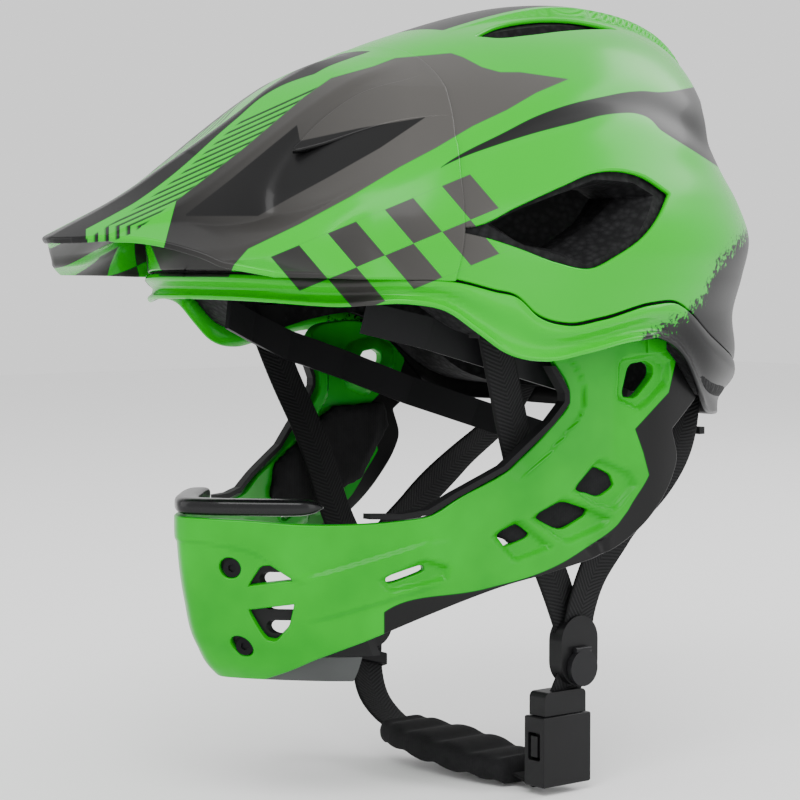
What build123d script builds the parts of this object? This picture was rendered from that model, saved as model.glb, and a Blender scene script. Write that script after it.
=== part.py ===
"""A child's downhill full face helmet with a visor, dial fit, straps and a chin guard that comes off."""
import math
import os

from build123d import *

os.makedirs("parts", exist_ok=True)

# The frame: front of the helmet towards -Y, wearer's left towards +X, crown towards +Z.
# The origin is the middle of the head at brow height.

# Driving sizes of the shell, in millimetres
shell_half_width = 101.5
shell_front = 127.0
shell_rear = 138.0
crown_height = 122.0
skirt_depth = 50.0
skin = 2.0
fit_gap = 0.3
groove = 1.2
overrun = 25.0

# Driving sizes of the head space inside the liner
head_half_width = 76.0
head_front = 96.0
head_rear = 104.0
head_crown = 95.0
head_skirt = 52.0
pad_thickness = 6.0

# Driving sizes of the visor
visor_reach = 187.0
visor_half_width = 83.0
visor_wall = 2.6
visor_rise = 104.0

# Driving sizes of the chin guard
guard_half_width = 86.0
guard_front = 131.0
guard_drop = 134.0
guard_wall = 4.5

# Webbing, buckle and dividers
webbing_width = 15.0
webbing_thickness = 1.3
divider_height = 27.0
divider_width = 19.0
divider_thickness = 7.0

# Dial fit
pinion_radius = 6.0
pinion_teeth = 12
knob_radius = 11.0
knob_thickness = 7.5

# Each row of the dome: height, front, rear and half width as shares of the four sizes
dome_shares = [
    (-1.00, 0.866, 0.810, 0.867),
    (-0.70, 0.913, 0.900, 0.926),
    (-0.30, 0.960, 0.950, 0.966),
    (0.000, 0.976, 0.935, 0.972),
    (0.123, 0.992, 0.970, 0.990),
    (0.246, 1.000, 1.000, 1.000),
    (0.369, 0.960, 0.955, 0.965),
    (0.475, 0.872, 0.895, 0.912),
    (0.590, 0.755, 0.873, 0.843),
    (0.697, 0.625, 0.860, 0.750),
    (0.795, 0.450, 0.833, 0.630),
    (0.869, 0.285, 0.790, 0.515),
    (0.926, 0.110, 0.725, 0.392),
    (0.967, -0.050, 0.630, 0.272),
    (0.994, -0.210, 0.475, 0.135),
]
widest_share = 0.08


def dome(half_width, front, rear, crown, skirt, inset=0.0):
    """A closed dome lofted through flat ellipses, moved in by inset on every side."""
    middle = (rear - front) / 2
    half_length = (rear + front) / 2
    across = (half_width - inset) / half_width
    along = (half_length - inset) / half_length
    with BuildPart() as body:
        for height_share, front_share, rear_share, width_share in dome_shares:
            height = height_share * (crown - inset) if height_share > 0 else height_share * skirt
            fore = middle + (-front * front_share - middle) * along
            aft = middle + (rear * rear_share - middle) * along
            wide = half_width * width_share * across
            centre = fore + (aft - fore) * (0.5 - widest_share / 2)
            with BuildSketch(Plane.XY.offset(height)):
                with BuildLine():
                    EllipticalCenterArc((0, centre), wide, aft - centre, start_angle=0, arc_size=180)
                    EllipticalCenterArc((0, centre), wide, centre - fore, start_angle=180, arc_size=180)
                make_face()
        loft()
    return body.part


def shell_dome(inset):
    return dome(shell_half_width, shell_front, shell_rear, crown_height, skirt_depth, inset)


def head_dome(inset):
    return dome(head_half_width, head_front, head_rear, head_crown, head_skirt, inset)


def under(line_shares, lift):
    """Everything below a line drawn in the side view, from one side of the helmet to the other."""
    line = [(y * shell_front, z * crown_height + lift) for y, z in line_shares]
    floor = -skirt_depth - overrun
    with BuildPart() as block:
        with BuildSketch(Plane.YZ):
            with BuildLine():
                edge = Spline(*line)
                Polyline(edge @ 1, ((edge @ 1).X, floor), ((edge @ 0).X, floor), edge @ 0)
            make_face()
        extrude(amount=shell_half_width + overrun, both=True)
    return block.part


def side_prism(outline, from_x, to_x):
    """A prism with a side view outline, between two distances from the middle plane."""
    with BuildPart() as block:
        with BuildSketch(Plane.YZ.offset(from_x)):
            Polygon(*outline, align=None)
        extrude(amount=to_x - from_x)
    return block.part


# Lower edge of the lip and the joint between the two shells, in the side view
lip_shares = [
    (-1.10, 0.085), (-0.98, 0.078), (-0.82, 0.060), (-0.67, 0.068), (-0.575, 0.046), (-0.48, -0.025),
    (-0.41, -0.078), (-0.285, -0.105), (-0.16, -0.085), (0.05, -0.052), (0.16, -0.052), (0.30, -0.115),
    (0.385, -0.195), (0.47, -0.268), (0.71, -0.320), (0.95, -0.345), (1.20, -0.350),
]
seam_shares = [
    (-1.10, 0.150), (-0.98, 0.145), (-0.82, 0.132), (-0.67, 0.132), (-0.56, 0.122), (-0.45, 0.092),
    (-0.385, 0.075), (-0.315, 0.018), (-0.22, -0.008), (-0.095, 0.006), (0.125, 0.048), (0.25, 0.048),
    (0.33, 0.020), (0.47, -0.055), (0.71, -0.135), (0.95, -0.175), (1.20, -0.185),
]

shell_outside = shell_dome(0)
shell_inside = shell_dome(skin)
below_seam = under(seam_shares, 0)
below_groove = under(seam_shares, -groove)
below_lip = under(lip_shares, 0)

# Side vents: outline in the shell and the smaller outline where the foam ends
vent_outer_shares = [
    (-0.575, 0.270), (-0.378, 0.336), (-0.087, 0.443), (0.118, 0.434),
    (0.220, 0.385), (0.055, 0.246), (-0.150, 0.156), (-0.402, 0.221),
]
vent_inner_shares = [
    (-0.410, 0.290), (-0.340, 0.330), (-0.060, 0.400), (0.040, 0.396),
    (0.085, 0.370), (-0.010, 0.296), (-0.170, 0.213), (-0.290, 0.226),
]
vent_outer = [(y * shell_front, z * crown_height) for y, z in vent_outer_shares]
vent_inner = [(y * shell_front, z * crown_height) for y, z in vent_inner_shares]
vent_mouth_x = shell_half_width + fit_gap
vent_throat_x = head_half_width + pad_thickness


def side_funnel(side):
    """The tapering side vent: a loft from the shell's outline in to the foam's."""
    with BuildPart() as funnel:
        with BuildSketch(Plane.YZ.offset(side * vent_mouth_x)):
            Polygon(*vent_outer, align=None)
        with BuildSketch(Plane.YZ.offset(side * vent_throat_x)):
            Polygon(*vent_inner, align=None)
        loft(ruled=True)
    return funnel.part


# Crown vents, rear vents and the front vents under the visor's scoops
crown_vent_x = 34.0
crown_vent_y = 22.0
crown_vent_length = 64.0
crown_vent_width = 10.0
rear_vent_x = 44.0
rear_vent_z = 74.0
rear_vent_width = 26.0
rear_vent_height = 20.0
front_vent_x = 38.0
front_vent_z = 66.0
front_vent_width = 26.0
front_vent_height = 16.0
vent_corner = 4.0
sides = (-1, 1)

vent_prisms = []
for side in sides:
    vent_prisms.append(side_prism(vent_inner, side * head_half_width / 2, side * (vent_mouth_x + overrun)))
    with BuildPart() as crown_slot:
        with BuildSketch(Plane.XY.offset(head_crown / 3)):
            with Locations((side * crown_vent_x, crown_vent_y)):
                SlotOverall(crown_vent_length, crown_vent_width, rotation=90)
        extrude(amount=crown_height)
    vent_prisms.append(crown_slot.part)
    with BuildPart() as rear_slot:
        with BuildSketch(Plane.XZ.offset(-head_rear / 3)):
            with Locations((side * rear_vent_x, rear_vent_z)):
                RectangleRounded(rear_vent_width, rear_vent_height, vent_corner)
        extrude(amount=-shell_rear)
    vent_prisms.append(rear_slot.part)
    with BuildPart() as front_slot:
        with BuildSketch(Plane.XZ.offset(head_front / 3)):
            with Locations((side * front_vent_x, front_vent_z)):
                RectangleRounded(front_vent_width, front_vent_height, vent_corner)
        extrude(amount=shell_front)
    vent_prisms.append(front_slot.part)
shell_side_vent = side_prism(vent_outer, -shell_half_width - overrun, shell_half_width + overrun)
funnels = [side_funnel(side) for side in sides]

# Pegs that hold the visor to the shell
peg_radius = 3.0
peg_x = 18.0
peg_y = -72.0
peg_depth = 16.0
peg_top = visor_rise


def peg_columns(radius, bottom):
    with BuildPart() as columns:
        with BuildSketch(Plane.XY.offset(bottom)):
            with Locations((-peg_x, peg_y), (peg_x, peg_y)):
                Circle(radius)
        extrude(amount=peg_top - bottom)
    return columns.part


peg_bottom = crown_height * 0.6 - peg_depth / 2
peg_holes = peg_columns(peg_radius + fit_gap, peg_bottom - fit_gap)

# Sockets in the liner that take the chin guard's tabs
catch_y = 30.0
catch_length = 22.0
catch_x = 82.0
catch_width = 12.0
catch_bottom = 1.5
catch_height = 17.0
tab_length = 16.0
tab_thickness = 4.0
tab_top = catch_bottom + catch_height - 3 * skin / 2

catch_pockets = []
for side in sides:
    with BuildPart() as pocket:
        with BuildSketch(Plane.XY.offset(-skirt_depth)):
            with Locations((side * catch_x, catch_y)):
                Rectangle(catch_width + 2 * fit_gap, catch_length + 2 * fit_gap)
        extrude(amount=skirt_depth + catch_bottom + catch_height + fit_gap)
    catch_pockets.append(pocket.part)

# Where the webbing runs on the wearer's left; the right side is its mirror
divider_x = 62.0
divider_y = 10.0
divider_z = -128.0
layer = webbing_thickness / 2 + 2 * fit_gap
front_strap_route = [
    (70.4, -40.0, -3.0), (67.4, -31.0, -26.0), (63.2, -20.0, -52.0), (61.8, -8.0, -84.0),
    (60.8, 4.0, -108.0), (divider_x - layer, 8.5, -119.0), (divider_x - layer, divider_y, -124.5),
]
rear_strap_route = [
    (48.0, 87.0, -30.0), (53.0, 79.0, -45.0), (60.6, 58.0, -64.5), (62.2, 34.0, -83.0),
    (64.0, 18.0, -99.0), (divider_x + layer + fit_gap, 12.5, -112.0), (divider_x + layer, divider_y, -124.5),
]
lower_strap_route = [
    (divider_x, divider_y, -131.5), (61.8, 9.5, -137.0), (61.2, 7.0, -142.5), (60.4, 4.6, -148.5),
]
chin_strap_route = [
    (-divider_x, divider_y, -131.5), (-61.0, 8.0, -139.5), (-57.5, 5.0, -149.5), (-50.0, 2.0, -159.5),
    (-38.0, 0.5, -166.8), (-20.0, 0.0, -171.0), (0.0, 0.0, -173.8), (20.0, 0.6, -175.4),
    (38.0, 1.6, -176.8), (48.0, 2.4, -178.4), (54.0, 3.0, -180.4),
]

# Plugs that hold the webbing in the liner
anchor_width = 6.0
anchor_length = 18.0
anchor_height = 10.0
anchor_grip = 3.5
anchor_places = []
anchor_pockets = []
for x, y, z in (front_strap_route[0], rear_strap_route[0]):
    for side in sides:
        anchor_places.append((side * x, y, z - anchor_grip))
        with BuildPart() as anchor_pocket:
            with BuildSketch(Plane.XY.offset(-skirt_depth)):
                with Locations((side * x, y)):
                    Rectangle(anchor_width + 4 * fit_gap, anchor_length + 2 * fit_gap)
            extrude(amount=skirt_depth + z - anchor_grip + anchor_height + fit_gap)
        anchor_pockets.append(anchor_pocket.part)

liner_outside = shell_dome(skin + fit_gap)
liner_inside = head_dome(0)
liner_lift = 6.0
below_liner = under(lip_shares, liner_lift)

with BuildPart() as upper_shell:
    add(shell_outside)
    add(shell_inside, mode=Mode.SUBTRACT)
    add(below_seam, mode=Mode.SUBTRACT)
    add(shell_side_vent, mode=Mode.SUBTRACT)
    add(vent_prisms, mode=Mode.SUBTRACT)
    add(peg_holes, mode=Mode.SUBTRACT)
upper_shell.part.label = "upper_shell"
export_step(upper_shell.part, "parts/upper_shell.step")

with BuildPart() as lower_shell:
    add(shell_outside)
    add(shell_inside, mode=Mode.SUBTRACT)
    add(below_groove, mode=Mode.INTERSECT)
    add(below_lip, mode=Mode.SUBTRACT)
lower_shell.part.label = "lower_shell"
export_step(lower_shell.part, "parts/lower_shell.step")

with BuildPart() as eps_liner:
    add(liner_outside)
    add(liner_inside, mode=Mode.SUBTRACT)
    add(below_liner, mode=Mode.SUBTRACT)
    add(funnels, mode=Mode.SUBTRACT)
    add(vent_prisms, mode=Mode.SUBTRACT)
    add(catch_pockets, mode=Mode.SUBTRACT)
    add(anchor_pockets, mode=Mode.SUBTRACT)
    add(peg_holes, mode=Mode.SUBTRACT)
eps_liner.part.label = "eps_liner"
export_step(eps_liner.part, "parts/eps_liner.step")

# Visor: rows down its length, with y as a share of the reach, heights as shares of the rise and
# widths as shares of the half width: y, centre z, ridge x, ridge z, crease x, crease z, edge x, edge z
visor_shares = [
    (-1.030, 0.250, 0.217, 0.236, 0.602, 0.207, 0.750, 0.170),
    (-0.882, 0.375, 0.265, 0.341, 0.639, 0.231, 0.795, 0.178),
    (-0.733, 0.529, 0.313, 0.481, 0.675, 0.279, 0.843, 0.178),
    (-0.588, 0.683, 0.361, 0.635, 0.735, 0.404, 0.910, 0.168),
    (-0.401, 0.894, 0.410, 0.830, 0.890, 0.580, 1.018, 0.149),
    (-0.203, 1.060, 0.500, 0.975, 1.040, 0.680, 1.230, 0.106),
]
nose_shares = [
    (0.964, -0.684), (0.771, -0.802), (0.602, -0.893), (0.434, -0.944), (0.241, -0.981), (0.0, -1.0),
]
visor_rear_shares = [(-0.398, 0.05), (-0.385, 0.144), (-0.345, 0.55), (-0.225, 1.03), (-0.200, 1.30)]
scoop_shares = [(0.361, -0.513), (0.434, -0.513), (0.602, -0.280), (0.410, -0.280)]


def visor_roof(wall, drop):
    """The roof of the visor, thinned by wall and with its open side lowered by drop."""
    with BuildPart() as roof:
        for y, top_z, ridge_x, ridge_z, crease_x, crease_z, edge_x, edge_z in visor_shares:
            edge = (visor_half_width * edge_x - wall, visor_rise * edge_z)
            crease = (visor_half_width * crease_x - wall, visor_rise * crease_z - wall / 2)
            ridge = (visor_half_width * ridge_x, visor_rise * ridge_z - wall)
            half = [(edge[0], edge[1] - drop), edge, crease, ridge]
            if drop == 0:
                half = half[1:]
            mirrored = [(-x, z) for x, z in reversed(half)]
            with BuildSketch(Plane.XZ.offset(-visor_reach * y)):
                Polygon(*half, (0, visor_rise * top_z - wall), *mirrored, align=None)
        loft()
    return roof.part


roof_block = visor_roof(0, 0)
roof_void = visor_roof(visor_wall, overrun)
shell_clear = shell_dome(-fit_gap)

with BuildPart() as nose_prism:
    with BuildSketch():
        with BuildLine():
            nose_left = [(visor_half_width * x, visor_reach * y) for x, y in nose_shares]
            nose_right = [(-x, y) for x, y in reversed(nose_left[:-1])]
            front_edge = Spline(*nose_left, *nose_right)
            back = -visor_half_width / 3
            beyond = visor_half_width + 2 * overrun
            Polyline(front_edge @ 1, (-beyond, back), (beyond, back), front_edge @ 0)
        make_face()
    extrude(amount=crown_height)

with BuildPart() as behind_visor:
    with BuildSketch(Plane.YZ):
        rear_line = [(visor_reach * y, visor_rise * z) for y, z in visor_rear_shares]
        Polygon(*rear_line, (shell_rear, crown_height + overrun), (shell_rear, -overrun), align=None)
    extrude(amount=shell_half_width + overrun, both=True)

scoops = []
for side in sides:
    with BuildPart() as scoop_hole:
        with BuildSketch():
            outline = [(side * visor_half_width * x, visor_reach * y) for x, y in scoop_shares]
            Polygon(*outline, align=None)
        extrude(amount=crown_height)
    scoops.append(scoop_hole.part)

with BuildPart() as visor:
    add(roof_block)
    add(nose_prism.part, mode=Mode.INTERSECT)
    add(roof_void, mode=Mode.SUBTRACT)
    add(shell_clear, mode=Mode.SUBTRACT)
    add(behind_visor.part, mode=Mode.SUBTRACT)
    add(scoops, mode=Mode.SUBTRACT)
visor.part.label = "visor"
export_step(visor.part, "parts/visor.step")

peg_columns_full = peg_columns(peg_radius, peg_bottom)
with BuildPart() as visor_pegs:
    add(peg_columns_full)
    add(roof_void, mode=Mode.INTERSECT)
visor_pegs.part.label = "visor_pegs"
export_step(visor_pegs.part, "parts/visor_pegs.step")

# Comfort pads inside the head space, each a slice of one thin inner bowl
pad_face = head_dome(fit_gap)
pad_back = head_dome(pad_thickness)


def comfort_pad(low, high):
    """The part of the padding bowl inside a box given by its low and high corner."""
    size = [b - a for a, b in zip(low, high)]
    middle = tuple((a + b) / 2 for a, b in zip(low, high))
    with BuildPart() as pad:
        with Locations(middle):
            Box(*size)
        add(pad_face, mode=Mode.INTERSECT)
        add(pad_back, mode=Mode.SUBTRACT)
    return pad.part


brow_half = head_half_width * 0.74
brow_low = head_crown * 0.11
brow_high = head_crown * 0.40
side_pad_front = head_front * 0.02
side_pad_rear = head_rear * 0.58
side_pad_low = head_crown * 0.10
side_pad_high = head_crown * 0.36
crown_pad_half = head_half_width * 0.30
crown_pad_front = head_front * 0.50
crown_pad_rear = head_rear * 0.62
crown_pad_low = head_crown * 0.60

with BuildPart() as brow_pad:
    add(comfort_pad((-brow_half, -head_front - overrun, brow_low), (brow_half, -head_front * 0.5, brow_high)))
brow_pad.part.label = "brow_pad"
export_step(brow_pad.part, "parts/brow_pad.step")

with BuildPart() as crown_pad:
    add(comfort_pad((-crown_pad_half, -crown_pad_front, crown_pad_low),
                    (crown_pad_half, crown_pad_rear, head_crown)))
crown_pad.part.label = "crown_pad"
export_step(crown_pad.part, "parts/crown_pad.step")

for side, name in ((1, "left"), (-1, "right")):
    near_x = side * head_half_width / 2
    far_x = side * (head_half_width + overrun)
    with BuildPart() as side_pad:
        add(comfort_pad((min(near_x, far_x), side_pad_front, side_pad_low),
                        (max(near_x, far_x), side_pad_rear, side_pad_high)))
    side_pad.part.label = f"side_pad_{name}"
    export_step(side_pad.part, f"parts/side_pad_{name}.step")

# Chin guard: plan outline as shares of its half width and front, side outline as shares of front and drop
plan_shares = [
    (0.000, -1.000), (0.093, -0.973), (0.233, -0.901), (0.430, -0.771), (0.581, -0.615), (0.698, -0.473),
    (0.826, -0.252), (0.924, -0.061), (0.977, 0.092), (1.000, 0.229), (0.971, 0.420), (0.900, 0.687),
]
# Levels of the chin guard: height as a share of its drop, then shares of its half width and front
bar_levels = [
    (-1.04, 0.930, 0.800), (-0.970, 0.965, 0.885), (-0.895, 0.985, 0.940), (-0.780, 1.0, 0.975),
    (-0.620, 1.0, 1.0), (-0.450, 1.0, 1.0), (-0.250, 1.0, 1.0), (-0.050, 1.0, 1.0), (0.150, 1.0, 1.0),
]
guard_shares = [
    (-1.100, -0.535), (-0.771, -0.540), (-0.542, -0.545), (-0.469, -0.534), (-0.393, -0.489),
    (-0.252, -0.418), (-0.115, -0.295), (-0.065, -0.235), (-0.065, -0.201), (-0.122, -0.104),
    (-0.084, -0.056), (0.046, -0.030), (0.137, -0.030), (0.229, -0.056), (0.305, -0.112),
    (0.397, -0.203), (0.428, -0.233), (0.305, -0.321), (0.328, -0.410), (0.318, -0.450),
    (0.237, -0.545), (0.099, -0.642), (-0.095, -0.701), (-0.267, -0.743), (-0.462, -0.810),
    (-0.607, -0.877), (-0.718, -0.933), (-0.794, -1.000), (-1.100, -1.000),
]
window_shares = {
    "upper": [
        (0.125, -0.131), (0.220, -0.123), (0.245, -0.140), (0.240, -0.168), (0.165, -0.232), (0.115, -0.220),
    ],
    "first": [(0.022, -0.412), (0.080, -0.440), (0.096, -0.474), (0.040, -0.506), (-0.045, -0.473)],
    "second": [(-0.170, -0.545), (-0.083, -0.510), (0.015, -0.545), (0.010, -0.570), (-0.082, -0.598)],
    "third": [(-0.272, -0.595), (-0.215, -0.570), (-0.172, -0.604), (-0.240, -0.634)],
    "slot": [(-0.580, -0.702), (-0.482, -0.671), (-0.474, -0.688), (-0.564, -0.722)],
}
front_vent_shares = [
    (0.242, -0.728), (0.293, -0.668), (0.314, -0.668), (0.380, -0.705), (0.372, -0.772),
    (0.344, -0.840), (0.292, -0.880), (0.264, -0.877), (0.231, -0.795),
]


def bar(inset):
    """The chin guard's outer body, moved in by inset, before it is cut to its side outline."""
    with BuildPart() as body:
        for height_share, width_share, front_share in bar_levels:
            half_width = (guard_half_width - inset) * width_share
            front = (guard_front - inset) * front_share
            half = [(half_width * x, front * y if y < 0 else guard_front * y) for x, y in plan_shares]
            mirrored = [(-x, y) for x, y in reversed(half[1:])]
            with BuildSketch(Plane.XY.offset(guard_drop * height_share)):
                with BuildLine():
                    rim = Spline(*mirrored, *half)
                    Line(rim @ 1, rim @ 0)
                make_face()
        loft()
    return body.part


def guard_outline(grow):
    """The chin guard's side outline as a prism across the helmet, grown all round."""
    with BuildPart() as block:
        with BuildSketch(Plane.YZ):
            Polygon(*[(guard_front * y, guard_drop * z) for y, z in guard_shares], align=None)
            if grow:
                offset(amount=grow, kind=Kind.INTERSECTION)
        extrude(amount=guard_half_width + overrun, both=True)
    return block.part


bar_outside = bar(0)
bar_inside = bar(guard_wall)
bar_lining = bar(guard_wall + fit_gap)
guard_silhouette = guard_outline(0)

windows = []
for shares in window_shares.values():
    outline = [(guard_front * y, guard_drop * z) for y, z in shares]
    windows.append(side_prism(outline, -guard_half_width - overrun, guard_half_width + overrun))
front_vents = []
for side in sides:
    outline = [(side * guard_half_width * x, guard_drop * z) for x, z in front_vent_shares]
    with BuildPart() as front_opening:
        with BuildSketch(Plane.XZ.offset(guard_front / 2)):
            Polygon(*outline, align=None)
        extrude(amount=guard_front)
    front_vents.append(front_opening.part)

# Screws through the two front faces of the chin guard: x, z and the distance forward of each head
screw_places = [(15.8, -90.5, 118.8), (14.8, -120.0, 112.4)]
screw_turn = math.radians(38)
screw_head_radius = 3.4
screw_head_height = 2.0
screw_shank_radius = 1.6
screw_length = 9.0

screw_planes = []
for x, z, front in screw_places:
    for side in sides:
        inward = (-side * math.sin(screw_turn), math.cos(screw_turn), 0)
        screw_planes.append(Plane(origin=(side * x, -front, z), x_dir=(0, 0, 1), z_dir=inward))

# Latch buttons, one on each arm of the chin guard
button_length = 10.0
button_height = 5.5
button_z = -10.5
latch_finger = 2.0
latch_finger_length = 7.0
latch_barb = 2.0
barb_z = 8.0
barb_height = 3.0
window_bottom = button_z - button_height / 2 - 3 * fit_gap
window_top = catch_bottom + catch_height / 2 + barb_height
tab_x = catch_x

with BuildPart() as chin_guard:
    add(bar_outside)
    add(guard_silhouette, mode=Mode.INTERSECT)
    add(bar_inside, mode=Mode.SUBTRACT)
    add(windows, mode=Mode.SUBTRACT)
    add(front_vents, mode=Mode.SUBTRACT)
    with BuildSketch(Plane.XY.offset(button_z)):
        with Locations((-tab_x, catch_y), (tab_x, catch_y)):
            Rectangle(tab_thickness, tab_length)
    extrude(amount=tab_top - button_z)
    with BuildSketch(Plane.YZ):
        with Locations((catch_y, (window_bottom + window_top) / 2)):
            Rectangle(button_length + 4 * fit_gap, window_top - window_bottom)
    extrude(amount=guard_half_width + overrun, both=True, mode=Mode.SUBTRACT)
    for place in screw_planes:
        with Locations(place):
            Cylinder(screw_shank_radius + fit_gap, screw_length,
                     align=(Align.CENTER, Align.CENTER, Align.MIN), mode=Mode.SUBTRACT)
            Cylinder(screw_head_radius + fit_gap, screw_head_height + overrun,
                     align=(Align.CENTER, Align.CENTER, Align.MAX), mode=Mode.SUBTRACT)
            Cylinder(screw_head_radius + fit_gap, screw_head_height + fit_gap,
                     align=(Align.CENTER, Align.CENTER, Align.MIN), mode=Mode.SUBTRACT)
chin_guard.part.label = "chin_guard"
export_step(chin_guard.part, "parts/chin_guard.step")

with BuildPart() as chin_screws:
    for place in screw_planes:
        with Locations(place):
            Cylinder(screw_head_radius, screw_head_height, align=(Align.CENTER, Align.CENTER, Align.MIN))
            Cylinder(screw_shank_radius, screw_length, align=(Align.CENTER, Align.CENTER, Align.MIN))
            with BuildSketch(place):
                RegularPolygon(screw_shank_radius, 6)
            extrude(amount=screw_head_height / 2, mode=Mode.SUBTRACT)
chin_screws.part.label = "chin_screws"
export_step(chin_screws.part, "parts/chin_screws.step")


def bar_slice(outer, inner, low, high):
    """The wall between two bar bodies, kept inside a box."""
    size = [b - a for a, b in zip(low, high)]
    middle = tuple((a + b) / 2 for a, b in zip(low, high))
    with BuildPart() as wall:
        with Locations(middle):
            Box(*size)
        add(outer, mode=Mode.INTERSECT)
        add(inner, mode=Mode.SUBTRACT)
    return wall.part


# Inner plate with the grille behind the front vents
grille_thickness = 2.4
grille_half_width = 44.0
grille_low = -124.0
grille_high = -80.0
grille_slot_height = 5.0
grille_slot_pitch = 9.0
grille_slot_length = 11.0
vent_middle_x = guard_half_width * 0.310
vent_middle_z = guard_drop * -0.773
grille_inside = bar(guard_wall + fit_gap + grille_thickness)
grille_wall = bar_slice(bar_lining, grille_inside, (-grille_half_width, -guard_front, grille_low),
                        (grille_half_width, -guard_front / 2, grille_high))
with BuildPart() as vent_grille:
    add(grille_wall)
    with BuildSketch(Plane.XZ.offset(guard_front / 2)):
        with Locations((-vent_middle_x, vent_middle_z), (vent_middle_x, vent_middle_z)):
            with GridLocations(grille_slot_pitch, grille_slot_pitch, 1, 3):
                SlotOverall(grille_slot_length, grille_slot_height)
    extrude(amount=guard_front, mode=Mode.SUBTRACT)
    for place in screw_planes:
        with Locations(place):
            Cylinder(screw_shank_radius + fit_gap, screw_length + overrun,
                     align=(Align.CENTER, Align.CENTER, Align.MIN), mode=Mode.SUBTRACT)
            Cylinder(screw_head_radius + fit_gap, screw_head_height + fit_gap,
                     align=(Align.CENTER, Align.CENTER, Align.MIN), mode=Mode.SUBTRACT)
vent_grille.part.label = "vent_grille"
export_step(vent_grille.part, "parts/vent_grille.step")

# Soft pad on top of the chin bar
lip_pad_half = 40.0
lip_pad_low = -guard_drop * 0.535 + fit_gap
lip_pad_height = 6.2
lip_pad_high = lip_pad_low + lip_pad_height
lip_pad_depth = 11.0
with BuildPart() as lip_cushion:
    add(bar_slice(bar(fit_gap), bar(lip_pad_depth), (-lip_pad_half, -guard_front - overrun, lip_pad_low),
                  (lip_pad_half, -guard_front / 2, lip_pad_high)))
lip_cushion.part.label = "lip_cushion"
export_step(lip_cushion.part, "parts/lip_cushion.step")

# Rubber trim round the eye port edge of each arm
trim_height = 2.0
trim_front = guard_front * -0.62
trim_rear = guard_front * -0.05
trim_low = guard_drop * -0.56
trim_high = guard_drop * -0.13
trim_outside = guard_outline(fit_gap + trim_height)
trim_inside = guard_outline(fit_gap)
with BuildPart() as edge_trim:
    with Locations((0, (trim_front + trim_rear) / 2, (trim_low + trim_high) / 2)):
        Box(3 * guard_half_width, trim_rear - trim_front, trim_high - trim_low)
    add(bar_outside, mode=Mode.INTERSECT)
    add(bar_inside, mode=Mode.SUBTRACT)
    add(trim_outside, mode=Mode.INTERSECT)
    add(trim_inside, mode=Mode.SUBTRACT)
    add(lip_cushion.part, mode=Mode.SUBTRACT)
edge_trim.part.label = "edge_trim"
export_step(edge_trim.part, "parts/edge_trim.step")

# Tray under the chin
tray_half = 46.0
tray_low = -guard_drop * 1.0
tray_high = grille_low - fit_gap
tray_depth = 16.0
with BuildPart() as chin_tray:
    add(bar_slice(bar_lining, bar(tray_depth), (-tray_half, -guard_front, tray_low),
                  (tray_half, -guard_front * 0.6, tray_high)))
chin_tray.part.label = "chin_tray"
export_step(chin_tray.part, "parts/chin_tray.step")

# Foam pads on the inner faces of the arms
cheek_pad_thickness = 3.5
cheek_shares = [
    (-0.300, -0.455), (-0.085, -0.335), (0.020, -0.290), (0.250, -0.290), (0.270, -0.370),
    (0.150, -0.540), (-0.200, -0.640), (-0.330, -0.560),
]
cheek_inside = bar(guard_wall + fit_gap + cheek_pad_thickness)
cheek_outline = [(guard_front * y, guard_drop * z) for y, z in cheek_shares]
for side, name in ((1, "left"), (-1, "right")):
    with BuildPart() as cheek_pad:
        add(side_prism(cheek_outline, side * overrun, side * (guard_half_width + overrun)))
        add(bar_lining, mode=Mode.INTERSECT)
        add(cheek_inside, mode=Mode.SUBTRACT)
    cheek_pad.part.label = f"cheek_pad_{name}"
    export_step(cheek_pad.part, f"parts/cheek_pad_{name}.step")

# Sockets in the liner and the latch buttons that hook into them
barb_hole_height = barb_height + 4 * fit_gap
for side, name in ((1, "left"), (-1, "right")):
    with BuildPart() as catch:
        with Locations((side * catch_x, catch_y, catch_bottom)):
            Box(catch_width, catch_length, catch_height, align=(Align.CENTER, Align.CENTER, Align.MIN))
            Box(tab_thickness + 2 * fit_gap, tab_length + 2 * fit_gap, tab_top - catch_bottom + fit_gap,
                align=(Align.CENTER, Align.CENTER, Align.MIN), mode=Mode.SUBTRACT)
        with Locations((side * (catch_x + catch_width / 2), catch_y, barb_z + barb_hole_height / 2)):
            Box(catch_width, button_length, barb_hole_height + barb_z,
                align=(Align.CENTER, Align.CENTER, Align.MAX), mode=Mode.SUBTRACT)
    catch.part.label = f"catch_{name}"
    export_step(catch.part, f"parts/catch_{name}.step")

    finger_x = side * (tab_x + tab_thickness / 2 - latch_finger / 2)
    barb_x = side * (tab_x + tab_thickness / 2 + latch_barb / 2)
    finger_low = button_z - button_height / 2
    with BuildPart() as latch_button:
        with Locations((finger_x, catch_y, finger_low)):
            Box(latch_finger, latch_finger_length, barb_z + barb_height / 2 - finger_low,
                align=(Align.CENTER, Align.CENTER, Align.MIN))
        with Locations((barb_x, catch_y, barb_z)):
            Box(latch_barb, latch_finger_length, barb_height)
        with Locations((barb_x + side * fit_gap, catch_y, button_z)):
            Box(latch_barb + 2 * fit_gap, button_length, button_height)
    latch_button.part.label = f"latch_button_{name}"
    export_step(latch_button.part, f"parts/latch_button_{name}.step")


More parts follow.
